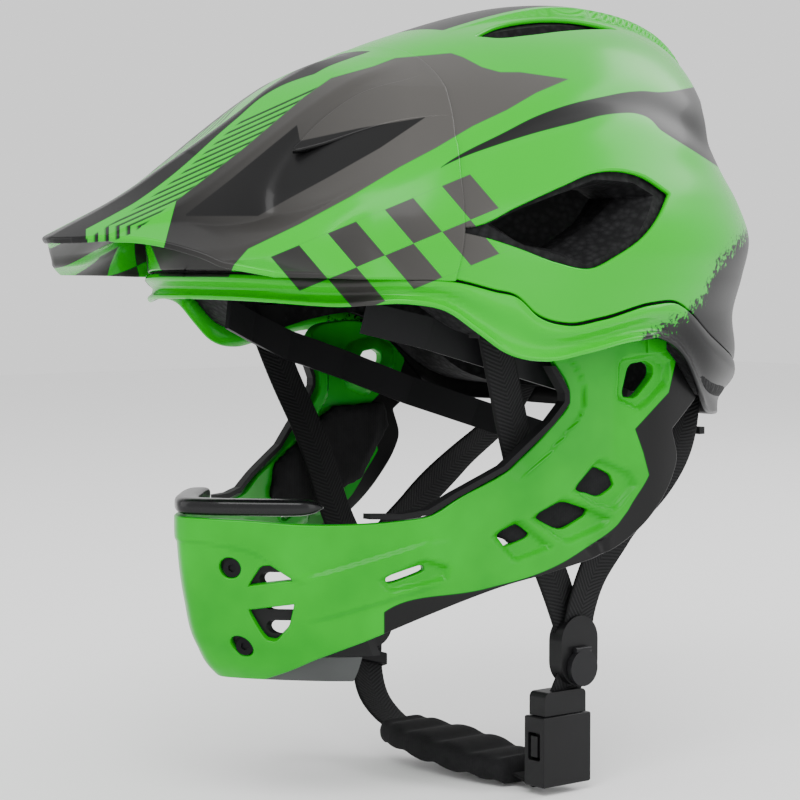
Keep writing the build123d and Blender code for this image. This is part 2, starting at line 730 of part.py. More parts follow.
def ribbon(route, width, thickness):
    """Webbing: flat sections along a route, lying across the front to back direction."""
    points = [Vector(*point) for point in route]
    with BuildPart() as band:
        for index, point in enumerate(points):
            before = points[max(index - 1, 0)]
            after = points[min(index + 1, len(points) - 1)]
            along = (after - before).normalized()
            across = (Vector(0, 1, 0) - along * along.Y).normalized()
            with BuildSketch(Plane(origin=point, x_dir=across, z_dir=along)):
                Rectangle(width, thickness)
        loft(ruled=True)
    return band.part


def flipped(route, side):
    return [(side * x, y, z) for x, y, z in route]


cam_radius = 7.0
cam_thickness = 2.4
cam_barrel = 8.0
cam_z = divider_z - divider_height / 2 + cam_radius
clear_width = webbing_width + fit_gap
clear_thickness = webbing_thickness + fit_gap
strap_clears = []
for side, name in ((1, "left"), (-1, "right")):
    front_strap = ribbon(flipped(front_strap_route, side), webbing_width, webbing_thickness)
    rear_strap = ribbon(flipped(rear_strap_route, side), webbing_width, webbing_thickness)
    front_clear = ribbon(flipped(front_strap_route, side), clear_width, clear_thickness)
    rear_clear = ribbon(flipped(rear_strap_route, side), clear_width, clear_thickness)
    strap_clears.extend([front_clear, rear_clear])
    front_strap.label = f"front_strap_{name}"
    export_step(front_strap, f"parts/front_strap_{name}.step")
    rear_strap.label = f"rear_strap_{name}"
    export_step(rear_strap, f"parts/rear_strap_{name}.step")
    lower_route = flipped(lower_strap_route, side) if side > 0 else chin_strap_route
    lower_clear = ribbon(lower_route, webbing_width + fit_gap, webbing_thickness + fit_gap)
    with BuildPart() as divider:
        with BuildSketch(Plane.YZ.offset(side * divider_x)):
            with Locations((divider_y, divider_z)):
                SlotOverall(divider_height, divider_width + fit_gap, rotation=90)
        extrude(amount=divider_thickness / 2, both=True)
        add([front_clear, rear_clear, lower_clear], mode=Mode.SUBTRACT)
    divider.part.label = f"strap_divider_{name}"
    export_step(divider.part, f"parts/strap_divider_{name}.step")
    cam_face = side * (divider_x + divider_thickness / 2 + fit_gap)
    with BuildPart() as cam:
        with BuildSketch(Plane.YZ.offset(cam_face)):
            with Locations((divider_y, cam_z)):
                Circle(cam_radius)
        extrude(amount=side * cam_thickness)
        with Locations(Plane(origin=(cam_face + side * cam_thickness / 2, divider_y, cam_z + cam_radius),
                             z_dir=(0, 1, 0))):
            Cylinder(cam_thickness / 2, cam_barrel)
    cam.part.label = f"divider_cam_{name}"
    export_step(cam.part, f"parts/divider_cam_{name}.step")

with BuildPart() as strap_anchors:
    with Locations(*anchor_places):
        Box(anchor_width, anchor_length, anchor_height, align=(Align.CENTER, Align.CENTER, Align.MIN))
    add(strap_clears, mode=Mode.SUBTRACT)
strap_anchors.part.label = "strap_anchors"
export_step(strap_anchors.part, "parts/strap_anchors.step")

# Side release buckle, hanging below the left divider
buckle_x = 60.0
buckle_y = 3.6
socket_top = -152.0
socket_height = 27.0
socket_width = 25.0
socket_depth = 11.0
socket_wall = 2.2
plug_height = 9.0
arm_width = 3.0
arm_length = 14.0
arm_depth = 3.6
arm_offset = 8.2
button_reach = 2.6
release_height = 8.0
arm_pivot_z = socket_top - fit_gap - arm_width / 2
socket_bottom = socket_top - socket_height

lower_strap = ribbon(lower_strap_route, webbing_width, webbing_thickness)
lower_strap.label = "lower_strap_left"
export_step(lower_strap, "parts/lower_strap_left.step")

with BuildPart() as buckle_plug:
    with Locations((buckle_x, buckle_y, socket_top)):
        Box(socket_depth * 0.8, socket_width * 0.86, plug_height,
            align=(Align.CENTER, Align.CENTER, Align.MIN))
        Box(arm_depth, arm_width, arm_length, align=(Align.CENTER, Align.CENTER, Align.MAX))
    plug_edges = buckle_plug.edges().filter_by(Axis.X)
    fillet(plug_edges.group_by(Axis.Z)[-1], radius=plug_height / 4)
    add(ribbon(lower_strap_route, webbing_width + fit_gap, webbing_thickness + fit_gap), mode=Mode.SUBTRACT)
buckle_plug.part.label = "buckle_plug"
export_step(buckle_plug.part, "parts/buckle_plug.step")

for side, name in ((-1, "front"), (1, "rear")):
    arm_y = buckle_y + side * arm_offset
    with BuildPart() as buckle_arm:
        with BuildSketch(Plane.YZ.offset(buckle_x - arm_depth / 2)):
            with Locations((arm_y, arm_pivot_z)):
                Circle(arm_width / 2)
            with Locations((arm_y, arm_pivot_z - arm_length / 2)):
                Rectangle(arm_width, arm_length)
            with Locations((arm_y + side * button_reach / 2, arm_pivot_z - arm_length + release_height / 2)):
                Rectangle(arm_width + button_reach, release_height)
        extrude(amount=arm_depth)
    buckle_arm.part.label = f"buckle_arm_{name}"
    export_step(buckle_arm.part, f"parts/buckle_arm_{name}.step")

with BuildPart() as buckle_socket:
    with Locations((buckle_x, buckle_y, socket_top - fit_gap)):
        Box(socket_depth, socket_width, socket_height, align=(Align.CENTER, Align.CENTER, Align.MAX))
        Box(socket_depth - 2 * socket_wall, socket_width - 2 * socket_wall,
            arm_length + socket_wall + button_reach,
            align=(Align.CENTER, Align.CENTER, Align.MAX), mode=Mode.SUBTRACT)
    with Locations((buckle_x, buckle_y, arm_pivot_z - arm_length + release_height / 2)):
        Box(socket_depth - 2 * socket_wall, socket_width + overrun, release_height + button_reach,
            mode=Mode.SUBTRACT)
    add(ribbon(chin_strap_route, webbing_width + fit_gap, webbing_thickness + fit_gap), mode=Mode.SUBTRACT)
buckle_socket.part.label = "buckle_socket"
export_step(buckle_socket.part, "parts/buckle_socket.step")

chin_strap = ribbon(chin_strap_route, webbing_width, webbing_thickness)
chin_strap.label = "chin_strap"
export_step(chin_strap, "parts/chin_strap.step")

# Chin pad: puffed channels across a sleeve round the webbing
pad_length = 76.0
pad_middle_x = 6.0
pad_width = 33.0
pad_height = 12.0
pad_channels = 4
pad_steps = 4
pad_sag = 2.8
pad_middle_y = 0.8
pad_centre_z = -173.6
pad_end_share = 0.62
pad_valley_share = 0.70


def pad_section(share):
    """Width, height and drop of the pad at a share of its length, from -0.5 to 0.5."""
    taper = pad_end_share + (1 - pad_end_share) * math.cos(math.pi * share) ** 0.5
    puff = pad_valley_share + (1 - pad_valley_share) * abs(math.sin(math.pi * pad_channels * (share + 0.5)))
    return pad_width * taper, pad_height * taper * puff, -pad_sag * share * 2


with BuildPart() as chin_pad:
    for step in range(pad_channels * pad_steps + 1):
        share = step / (pad_channels * pad_steps) - 0.5
        width, height, drop = pad_section(share)
        plane = Plane(origin=(pad_middle_x + share * pad_length, pad_middle_y, pad_centre_z + drop),
                      x_dir=(0, 1, 0), z_dir=(1, 0, 0))
        with BuildSketch(plane):
            RectangleRounded(width, height, height * 0.45)
    loft()
    add(ribbon(chin_strap_route, webbing_width + 2 * fit_gap, webbing_thickness + 2 * fit_gap),
        mode=Mode.SUBTRACT)
chin_pad.part.label = "chin_pad"
export_step(chin_pad.part, "parts/chin_pad.step")

# Loop that keeps the webbing's tail against the strap
keeper_wall = 1.5
keeper_height = 5.0
keeper_place = (-59.0, 6.2, -145.2)
keeper_tilt = (0.32, -0.27, -0.90)
keeper_gap = webbing_thickness + 4 * fit_gap
with BuildPart() as strap_keeper:
    with BuildSketch(Plane(origin=keeper_place, x_dir=(0, 1, 0), z_dir=keeper_tilt)):
        RectangleRounded(webbing_width + 2 * keeper_wall + fit_gap, keeper_gap + 2 * keeper_wall, keeper_wall)
    extrude(amount=keeper_height / 2, both=True)
    add(ribbon(chin_strap_route, webbing_width + fit_gap, webbing_thickness + fit_gap), mode=Mode.SUBTRACT)
strap_keeper.part.label = "strap_keeper"
export_step(strap_keeper.part, "parts/strap_keeper.step")

# Dial fit: two arms of a thin band, a nape cradle and a housing with racks, pinion and knob
band_height = 12.0
band_thickness = 1.6
band_route = [
    (42.0, -78.0, 1.0), (54.5, -57.0, -5.0), (63.6, -32.0, -13.0), (67.4, 0.0, -22.0),
    (64.6, 34.0, -34.0), (54.0, 62.0, -44.0), (41.5, 82.0, -52.0), (33.0, 93.5, -57.0), (25.4, 98.6, -57.0),
]
dial_y = 102.0
dial_z = -57.0
cradle_radius = 78.0
cradle_wall = 2.4
cradle_half = 32.0
cradle_drop = 19.0
cradle_rise = 17.0
cradle_low = dial_z - cradle_drop
cradle_high = dial_z + cradle_rise
cradle_back = 96.0
housing_half = 25.0
housing_half_height = 13.0
housing_depth = 12.0
housing_wall = 1.8
shaft_radius = 3.0
running_gap = 0.08
rack_thickness = 3.0
rack_length = 30.0
rack_back = 0.9
rack_height = 3.2
tail_length = 20.0
tail_height = 3.0
tooth_depth = 1.9
tooth_root = 0.85
tooth_tip = 0.42
pitch = 2 * math.pi * pinion_radius / pinion_teeth


def band_arm(side):
    """One arm of the band: upright flat sections along its route."""
    points = [Vector(*point) for point in flipped(band_route, side)]
    with BuildPart() as arm:
        for index, point in enumerate(points):
            before = points[max(index - 1, 0)]
            after = points[min(index + 1, len(points) - 1)]
            along = (after - before).normalized()
            upright = (Vector(0, 0, 1) - along * along.Z).normalized()
            with BuildSketch(Plane(origin=point, x_dir=upright, z_dir=along)):
                Rectangle(band_height, band_thickness)
        loft(ruled=True)
    return arm.part


for side, name in ((1, "left"), (-1, "right")):
    arm_part = band_arm(side)
    arm_part.label = f"fit_band_{name}"
    export_step(arm_part, f"parts/fit_band_{name}.step")

cradle_centre = cradle_back - cradle_radius
with BuildPart() as nape_cradle:
    with BuildSketch(Plane.XY.offset(cradle_low - overrun)):
        with Locations((0, cradle_centre)):
            Circle(cradle_radius)
            Circle(cradle_radius - cradle_wall, mode=Mode.SUBTRACT)
        with Locations((0, cradle_back)):
            Rectangle(2 * cradle_half + overrun, cradle_radius, mode=Mode.INTERSECT)
    extrude(amount=cradle_high - cradle_low + 2 * overrun)
    with BuildSketch(Plane.XZ.offset(-cradle_centre)):
        with Locations((0, (cradle_low + cradle_high) / 2)):
            RectangleRounded(2 * cradle_half, cradle_high - cradle_low, cradle_half / 4)
    extrude(amount=-cradle_radius - overrun, mode=Mode.INTERSECT)
nape_cradle.part.label = "nape_cradle"
export_step(nape_cradle.part, "parts/nape_cradle.step")

housing_front = cradle_back + fit_gap
housing_rear = housing_front + housing_depth
with BuildPart() as dial_housing:
    with Locations((0, (housing_front + housing_rear) / 2, dial_z)):
        Box(2 * housing_half, housing_depth, 2 * housing_half_height)
        fillet(dial_housing.edges().filter_by(Axis.Y), radius=housing_half_height / 2)
        Box(2 * (housing_half - housing_wall), housing_depth - 2 * housing_wall,
            2 * (housing_half_height - housing_wall), mode=Mode.SUBTRACT)
    with Locations(Plane(origin=(0, housing_rear - 2 * housing_wall, dial_z), z_dir=(0, 1, 0))):
        Cylinder(shaft_radius + running_gap, 4 * housing_wall, mode=Mode.SUBTRACT)
    for side in sides:
        rack_z = dial_z + side * (pinion_radius + rack_back + rack_height / 2)
        with Locations((side * housing_half, dial_y, rack_z)):
            Box(4 * housing_wall, rack_thickness + 2 * fit_gap, tail_height + 2 * fit_gap, mode=Mode.SUBTRACT)
dial_housing.part.label = "dial_housing"
export_step(dial_housing.part, "parts/dial_housing.step")

for side, name in ((1, "left"), (-1, "right")):
    root_z = dial_z + side * (pinion_radius + rack_back)
    inner_end = -side * (rack_length - (housing_half - housing_wall - 2 * fit_gap))
    with BuildPart() as rack:
        with BuildSketch(Plane.XZ.offset(-dial_y - rack_thickness / 2)):
            with Locations((inner_end + side * rack_length / 2, root_z + side * rack_height / 2)):
                Rectangle(rack_length, rack_height)
            tail_middle = inner_end + side * (rack_length + tail_length / 2)
            with Locations((tail_middle, root_z + side * rack_height / 2)):
                Rectangle(tail_length, tail_height)
            for tooth in range(-2, 7):
                x = side * (tooth + 0.5) * pitch
                tip_z = root_z - side * tooth_depth
                Polygon((x - tooth_root, root_z), (x + tooth_root, root_z), (x + tooth_tip, tip_z),
                        (x - tooth_tip, tip_z), align=None)
        extrude(amount=rack_thickness)
    rack.part.label = f"band_rack_{name}"
    export_step(rack.part, f"parts/band_rack_{name}.step")

pinion_root = pinion_radius - tooth_depth * 0.6
with BuildPart() as dial_pinion:
    pinion_origin = (0, dial_y - rack_thickness / 2, dial_z)
    with BuildSketch(Plane(origin=pinion_origin, x_dir=(1, 0, 0), z_dir=(0, 1, 0))):
        Circle(pinion_root)
        with PolarLocations(0, pinion_teeth, start_angle=90):
            Polygon((0, -tooth_root), (pinion_root, -tooth_root), (pinion_radius + tooth_tip, -tooth_tip),
                    (pinion_radius + tooth_tip, tooth_tip), (pinion_root, tooth_root), (0, tooth_root),
                    align=None)
    extrude(amount=rack_thickness)
    with BuildSketch(Plane(origin=(0, dial_y, dial_z), x_dir=(1, 0, 0), z_dir=(0, 1, 0))):
        Circle(shaft_radius)
    extrude(amount=housing_rear + fit_gap - dial_y)
dial_pinion.part.label = "dial_pinion"
export_step(dial_pinion.part, "parts/dial_pinion.step")

knob_grips = 16
grip_radius = 1.4
with BuildPart() as dial_knob:
    with BuildSketch(Plane(origin=(0, housing_rear + fit_gap, dial_z), x_dir=(1, 0, 0), z_dir=(0, 1, 0))):
        Circle(knob_radius)
        with PolarLocations(knob_radius + grip_radius / 2, knob_grips):
            Circle(grip_radius, mode=Mode.SUBTRACT)
    extrude(amount=knob_thickness)
dial_knob.part.label = "dial_knob"
export_step(dial_knob.part, "parts/dial_knob.step")
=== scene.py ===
"""The looks of a child's downhill full face helmet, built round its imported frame."""
import math

import bpy
import numpy as np
from mathutils import Matrix, Vector


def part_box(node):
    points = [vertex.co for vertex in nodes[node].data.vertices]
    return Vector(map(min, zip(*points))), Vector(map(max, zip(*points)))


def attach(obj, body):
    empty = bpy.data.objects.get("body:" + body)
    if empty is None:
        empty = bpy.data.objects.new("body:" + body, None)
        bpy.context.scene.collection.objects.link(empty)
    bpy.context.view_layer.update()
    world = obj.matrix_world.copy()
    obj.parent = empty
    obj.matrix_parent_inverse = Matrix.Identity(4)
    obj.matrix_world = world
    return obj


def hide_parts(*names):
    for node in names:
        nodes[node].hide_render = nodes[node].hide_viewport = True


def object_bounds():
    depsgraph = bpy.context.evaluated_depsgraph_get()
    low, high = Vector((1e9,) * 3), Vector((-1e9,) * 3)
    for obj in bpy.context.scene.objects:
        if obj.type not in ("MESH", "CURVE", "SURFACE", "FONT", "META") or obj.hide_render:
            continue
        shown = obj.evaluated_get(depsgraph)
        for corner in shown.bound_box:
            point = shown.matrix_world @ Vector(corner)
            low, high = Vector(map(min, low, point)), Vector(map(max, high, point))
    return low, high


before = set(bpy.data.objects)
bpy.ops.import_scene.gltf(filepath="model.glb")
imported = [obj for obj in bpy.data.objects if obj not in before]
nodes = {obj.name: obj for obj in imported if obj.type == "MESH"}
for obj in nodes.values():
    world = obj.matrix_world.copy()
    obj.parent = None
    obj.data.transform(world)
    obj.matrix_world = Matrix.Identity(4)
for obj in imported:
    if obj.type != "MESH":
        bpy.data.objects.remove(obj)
cad_low, cad_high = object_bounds()
mm = 0.001

# Upper shell
# A thin hard skin, moulded over the foam. It is cut along the seam, round the two side vents,
# the crown vents and the rear vents, and every cut edge is rolled over.


def smooth_through(knots, values, at):
    """Cubic pieces through values at rising knots, each knot's slope a mean of the two beside it."""
    knots, values, at = np.asarray(knots, float), np.asarray(values, float), np.asarray(at, float)
    flat = values.ndim == 1
    values = values.reshape(len(knots), -1)
    step = np.diff(knots)[:, None]
    rise = np.diff(values, axis=0) / step
    middle = (rise[:-1] * step[1:] + rise[1:] * step[:-1]) / (step[1:] + step[:-1])
    slope = np.concatenate([rise[:1], middle, rise[-1:]])
    cell = np.clip(np.searchsorted(knots, at, side="right") - 1, 0, len(step) - 1)
    width = step[cell]
    t = ((at - knots[cell]) / width[..., 0])[..., None]
    found = (values[cell] * (1 + 2 * t) * (1 - t) ** 2 + slope[cell] * width * t * (1 - t) ** 2
             + values[cell + 1] * t * t * (3 - 2 * t) - slope[cell + 1] * width * t * t * (1 - t))
    return found[..., 0] if flat else found


def smooth_outline(*runs):
    """A closed outline: each run of points is smooth, and the corners between runs stay sharp."""
    found = []
    for run in runs:
        if len(run) > 1:
            knots = np.r_[0, np.cumsum([math.dist(a, b) for a, b in zip(run, run[1:])])]
            run = smooth_through(knots, run, np.linspace(0, knots[-1], 8 * (len(run) - 1) + 1))
        found.append(np.array(run, float))
    found = np.concatenate(found)
    return found[np.hypot(*(found - np.roll(found, 1, 0)).T) > 1e-9]


def inside_by(across, up, outline):
    """How far a point lies inside a closed outline; below zero outside it."""
    a = outline
    edge = np.roll(outline, -1, 0) - a
    dx, dy = across[..., None] - a[:, 0], up[..., None] - a[:, 1]
    t = np.clip((dx * edge[:, 0] + dy * edge[:, 1]) / (edge ** 2).sum(1), 0, 1)
    gap = np.sqrt(((dx - t * edge[:, 0]) ** 2 + (dy - t * edge[:, 1]) ** 2).min(-1))
    crosses = (a[:, 1] > up[..., None]) != (a[:, 1] + edge[:, 1] > up[..., None])
    slope = np.where(np.abs(edge[:, 1]) < 1e-12, 1e-12, edge[:, 1])
    inner = (crosses & (dx < dy * edge[:, 0] / slope)).sum(-1) % 2 == 1
    return np.where(inner, gap, -gap)


def step_up(value, low, high):
    """Zero below low, one above high and a smooth rise between."""
    t = np.clip((value - low) / (high - low), 0, 1)
    return t * t * (3 - 2 * t)


def surface_normals(surface, u, v, small=4e-4):
    """Unit normals of a surface, from its change across and along."""
    across = surface(u + small, v) - surface(u - small, v)
    along = surface(u, np.minimum(v + small, 1)) - surface(u, np.maximum(v - small, 0))
    found = np.cross(across, along)
    length = np.linalg.norm(found, axis=-1, keepdims=True)
    return found / np.maximum(length, 1e-15)


def cut_panel(name, surface, keep, columns, rows, wall, roll, closed=False, pole=False, flip=False):
    """A wall over surface(u, v), cut where keep(points) is below zero, with its cut edge rolled over.

    A grid of cells is laid over the surface. Cells that the cut line crosses are trimmed to it, on points
    found by halving. The edge then rolls down through a quarter circle to the inner face.
    """
    u, v = np.meshgrid(np.linspace(0, 1, columns + 1), np.linspace(0, 1, rows + 1))
    label = np.arange(u.size).reshape(u.shape)
    if closed:
        label[:, -1] = label[:, 0]
    if pole:
        label[-1] = label[-1, 0]
    u, v = u.ravel(), v.ravel()
    kept = keep(surface(u, v))
    quads = np.stack([label[:-1, :-1], label[:-1, 1:], label[1:, 1:], label[1:, :-1]], -1).reshape(-1, 4)
    inside = kept[quads] > 0
    whole = quads[inside.all(1)]
    mixed = quads[inside.any(1) & ~inside.all(1)]
    triangles = np.concatenate([mixed[:, [0, 1, 2]], mixed[:, [0, 2, 3]]])
    triangles = triangles[(kept[triangles] > 0).any(1)]
    edges = np.concatenate([triangles[:, [0, 1]], triangles[:, [1, 2]], triangles[:, [2, 0]]])
    edges = np.unique(np.sort(edges[(kept[edges[:, 0]] > 0) != (kept[edges[:, 1]] > 0)], 1), axis=0)
    low = np.where((kept[edges[:, 0]] > 0)[:, None], edges, edges[:, ::-1])
    low_uv, high_uv = np.stack([u, v], -1)[low[:, 0]], np.stack([u, v], -1)[low[:, 1]]
    for _ in range(14):
        half = (low_uv + high_uv) / 2
        good = (keep(surface(half[:, 0], half[:, 1])) > 0)[:, None]
        low_uv, high_uv = np.where(good, half, low_uv), np.where(good, high_uv, half)
    cut_at = {tuple(edge): u.size + i for i, edge in enumerate(edges.tolist())}
    u, v = np.r_[u, low_uv[:, 0]], np.r_[v, low_uv[:, 1]]
    faces = whole.tolist()
    for corner in triangles.tolist():
        face = []
        for a, b in zip(corner, corner[1:] + corner[:1]):
            if kept[a] > 0:
                face.append(a)
            if (kept[a] > 0) != (kept[b] > 0):
                face.append(cut_at[(min(a, b), max(a, b))])
        faces.append(face)
    faces = [[a for a, b in zip(face, face[1:] + face[:1]) if a != b] for face in faces]
    faces = [face for face in faces if len(face) > 2]
    used = np.unique(np.concatenate([np.array(face) for face in faces]))
    renumber = np.full(u.size, -1)
    renumber[used] = np.arange(used.size)
    faces = [renumber[face].tolist() for face in faces]
    u, v = u[used], v[used]
    points, normals = surface(u, v), surface_normals(surface, u, v)
    if pole:
        top = v > 1 - 1e-9
        normals[top] = (0, 0, 1)
    if flip:
        normals, faces = -normals, [face[::-1] for face in faces]
    pairs = np.concatenate([np.stack([face, face[1:] + face[:1]], -1) for face in faces])
    known = set(map(tuple, pairs.tolist()))
    rim = np.array([pair for pair in pairs.tolist() if (pair[1], pair[0]) not in known])
    outward = np.zeros_like(points)
    side = np.cross(points[rim[:, 1]] - points[rim[:, 0]], normals[rim[:, 0]])
    side /= np.maximum(np.linalg.norm(side, axis=1, keepdims=True), 1e-12)
    np.add.at(outward, rim[:, 0], side)
    np.add.at(outward, rim[:, 1], side)
    edge_points = np.unique(rim)
    outward = outward[edge_points]
    outward = outward / np.maximum(np.linalg.norm(outward, axis=1, keepdims=True), 1e-9)
    place = np.full(len(points), -1)
    place[edge_points] = np.arange(edge_points.size)
    edge_normals, base = normals[edge_points], points[edge_points]
    layers, shades = [], []
    inner_roll = min(roll, wall / 3)
    for angle in np.radians([30, 60, 90]):
        layers.append(base + roll * (math.sin(angle) * outward - (1 - math.cos(angle)) * edge_normals))
        shades.append(math.sin(angle) * outward + math.cos(angle) * edge_normals)
    for angle in np.radians([90, 45]):
        reach = roll - inner_roll * (1 - math.sin(angle))
        layers.append(base + reach * outward - (wall - inner_roll * (1 - math.cos(angle))) * edge_normals)
        shades.append(math.sin(angle) * outward - math.cos(angle) * edge_normals)
    inner = points - wall * normals
    count = len(points)
    vertices = np.concatenate([points, *layers, inner])
    shading = np.concatenate([normals, *shades, -normals])
    starts = [None] + [count + i * edge_points.size for i in range(len(layers))]
    last = count + len(layers) * edge_points.size

    def ring_index(ring, vertex):
        if ring == 0:
            return vertex
        return last + vertex if ring == len(layers) + 1 else starts[ring] + place[vertex]

    rim_faces = []
    for ring in range(len(layers) + 1):
        a, b = ring_index(ring, rim[:, 0]), ring_index(ring, rim[:, 1])
        c, d = ring_index(ring + 1, rim[:, 1]), ring_index(ring + 1, rim[:, 0])
        rim_faces += np.stack([b, a, d, c], -1).tolist()
    inner_faces = [[last + a for a in reversed(face)] for face in faces]
    mesh = bpy.data.meshes.new(name)
    mesh.from_pydata(vertices, [], faces + rim_faces + inner_faces)
    mesh.shade_smooth()
    mesh.normals_split_custom_set_from_vertices(shading)
    return bpy.data.objects.new(name, mesh)


def finish_piece(piece, body, replaced, material):
    """Puts a piece in the scene, on its body, with its finish and the parts that it stands for."""
    bpy.context.scene.collection.objects.link(piece)
    piece.data.materials.clear()
    piece.data.materials.append(material)
    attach(piece, body)
    if replaced:
        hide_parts(*replaced)
    return piece


# Height, front, rear and half width of the dome, in millimetres
dome_rows = np.array([
    (-50, -110, 112, 88), (-35, -116, 124, 94), (-15, -122, 131, 98), (0, -124, 129, 98.7),
    (15, -126, 134, 100.5), (30, -127, 138, 101.5), (45, -122, 132, 98), (58, -110.7, 123.5, 92.6),
    (72, -96, 120.5, 85.6),
    (85, -79.4, 118.7, 76.1), (97, -57.2, 115, 63.9), (106, -36.2, 109, 52.3), (113, -14, 100, 39.8),
    (118, 6.4, 87, 27.6), (121.3, 26.7, 65.6, 13.7), (122, 46, 46, 0), (121.3, 65.6, 26.7, -13.7),
]) * mm
dome_knots = np.r_[0, np.cumsum(np.hypot(np.diff(dome_rows[:, 0]), np.diff(dome_rows[:, 3])))]
crown_knot = dome_knots[-2]
widest_share = 0.46
seam_line = np.array([
    (-160, 18.4), (-140, 18.3), (-124.5, 17.7), (-104, 16.1), (-85, 16.1), (-71, 14.9), (-57, 11.2),
    (-49, 9.2), (-40, 2.2), (-28, -1), (-12, 0.7), (16, 5.9), (32, 5.9), (42, 2.4), (60, -6.7), (90, -16.5),
    (121, -21.4), (160, -22.6)]) * mm
lip_line = np.array([
    (-160, 10.4), (-140, 10.4), (-124.5, 9.5), (-104, 7.3), (-85, 8.3), (-73, 5.6), (-61, -3), (-52, -9.5),
    (-36, -12.8), (-20, -10.4), (6, -6.3), (20, -6.3), (38, -14), (49, -23.8), (60, -32.7), (90, -39),
    (121, -42.1), (160, -42.7)]) * mm
side_vent = smooth_outline(
    [(-73, 33), (-64, 34), (-48, 41), (-27, 49), (-11, 54), (1, 55), (15, 53), (28, 47)],
    [(28, 47), (18, 38), (7, 30), (-6, 23.5), (-18, 19), (-33, 21), (-51, 27), (-62, 30.5), (-73, 33)]) * mm
crown_vent = smooth_outline([(33, -15), (28, 0), (27, 20), (30, 42), (35, 58)],
                            [(35, 58), (39, 42), (42, 20), (42, 2), (39, -10), (33, -15)]) * mm
rear_vent = smooth_outline([(31, 66), (33, 82), (44, 86), (56, 80), (59, 68), (46, 63), (31, 66)]) * mm
ridge_half = 21 * mm
ridge_rise = 3.2 * mm
channel_depth = 1.6 * mm
skin = 2 * mm
skin_roll = 0.9 * mm
seam_gap = 1.1 * mm
vent_gap = 1.0 * mm


def dome_plain(u, level):
    """The smooth dome: u goes once round from the front, level is the distance up its rows."""
    z, front, rear, half = np.moveaxis(smooth_through(dome_knots, dome_rows, level), -1, 0)
    centre = front + (rear - front) * widest_share
    ahead = np.cos(2 * math.pi * u)
    y = centre - ahead * np.where(ahead > 0, centre - front, rear - centre)
    return np.stack([half * np.sin(2 * math.pi * u), y, z], -1)


def dome_normal(u, level, turn=1e-4, climb=0.4 * mm):
    """The unit normal of the smooth dome, from its change round and up."""
    normal = np.cross(dome_plain(u + turn, level) - dome_plain(u - turn, level),
                      dome_plain(u, level + climb) - dome_plain(u, level - climb))
    return normal / np.maximum(np.linalg.norm(normal, axis=-1, keepdims=True), 1e-15)


def photo_place(points):
    """Where a point shows in an 800 by 800 picture taken from the front left; both sides alike."""
    p = points / mm - np.array(picture_eye)
    p = p + (np.abs(points[..., :1]) - points[..., :1]) / mm * np.array([1, 0, 0])
    depth = p @ picture_forward
    return 400 + picture_lens * (p @ picture_right) / depth, 400 - picture_lens * (p @ picture_up) / depth


# The picture's view: turned 50 degrees to the left of the front and 3.3 degrees above level, from one metre
picture_turn = math.radians(50)
picture_rise = math.radians(3.3)
picture_lens = 2500
picture_right = np.array([math.cos(picture_turn), math.sin(picture_turn), 0])
picture_forward = np.array([-math.sin(picture_turn) * math.cos(picture_rise),
                            math.cos(picture_turn) * math.cos(picture_rise), -math.sin(picture_rise)])
picture_up = np.cross(picture_right, picture_forward)
picture_eye = np.array([-12.47, -14.861, -34]) - 1000 * picture_forward
swoosh_middle = np.array([(440, 168), (500, 133), (560, 112), (620, 100), (660, 108), (700, 135), (730, 160)])


def dome_relief(points):
    """Rise of the dome's raised middle band, less the shallow channel that runs back from the visor."""
    x, y, z = np.abs(points[..., 0]), points[..., 1], points[..., 2]
    band = step_up(ridge_half - x, -0.8 * mm, 0.8 * mm) * step_up(y, -25 * mm, 60 * mm)
    band *= step_up(112 * mm - y, 0, 3 * mm) * step_up(z, 70 * mm, 90 * mm)
    px, py = photo_place(points)
    off = py - smooth_through(swoosh_middle[:, 0], swoosh_middle[:, 1], np.clip(px, 440, 730))
    channel = np.exp(-(off / 14) ** 2) * step_up(px, 440, 500) * step_up(x, 30 * mm, 45 * mm)
    return ridge_rise * band - channel_depth * channel


def shell_surface(low, high):
    """The dome between two levels, with its relief."""
    def surface(u, v):
        level = low + (high - low) * v
        plain = dome_plain(u, level)
        return plain + dome_normal(u, level) * dome_relief(plain)[..., None]
    return surface


def upper_keep(p):
    """Above zero on the skin over the seam, outside the side, crown and rear vents."""
    x, y, z = np.abs(p[..., 0]), p[..., 1], p[..., 2]
    seam = smooth_through(seam_line[:, 0], seam_line[:, 1], y) + seam_gap
    above, behind = np.where(z > 60 * mm, 0, -1), np.where(y > 60 * mm, 0, -1)
    vents = np.maximum(inside_by(y, z, side_vent), inside_by(x, y, crown_vent) + above)
    vents = np.maximum(vents, inside_by(x, z, rear_vent) + behind)
    return np.minimum(z - seam, -vents - vent_gap)


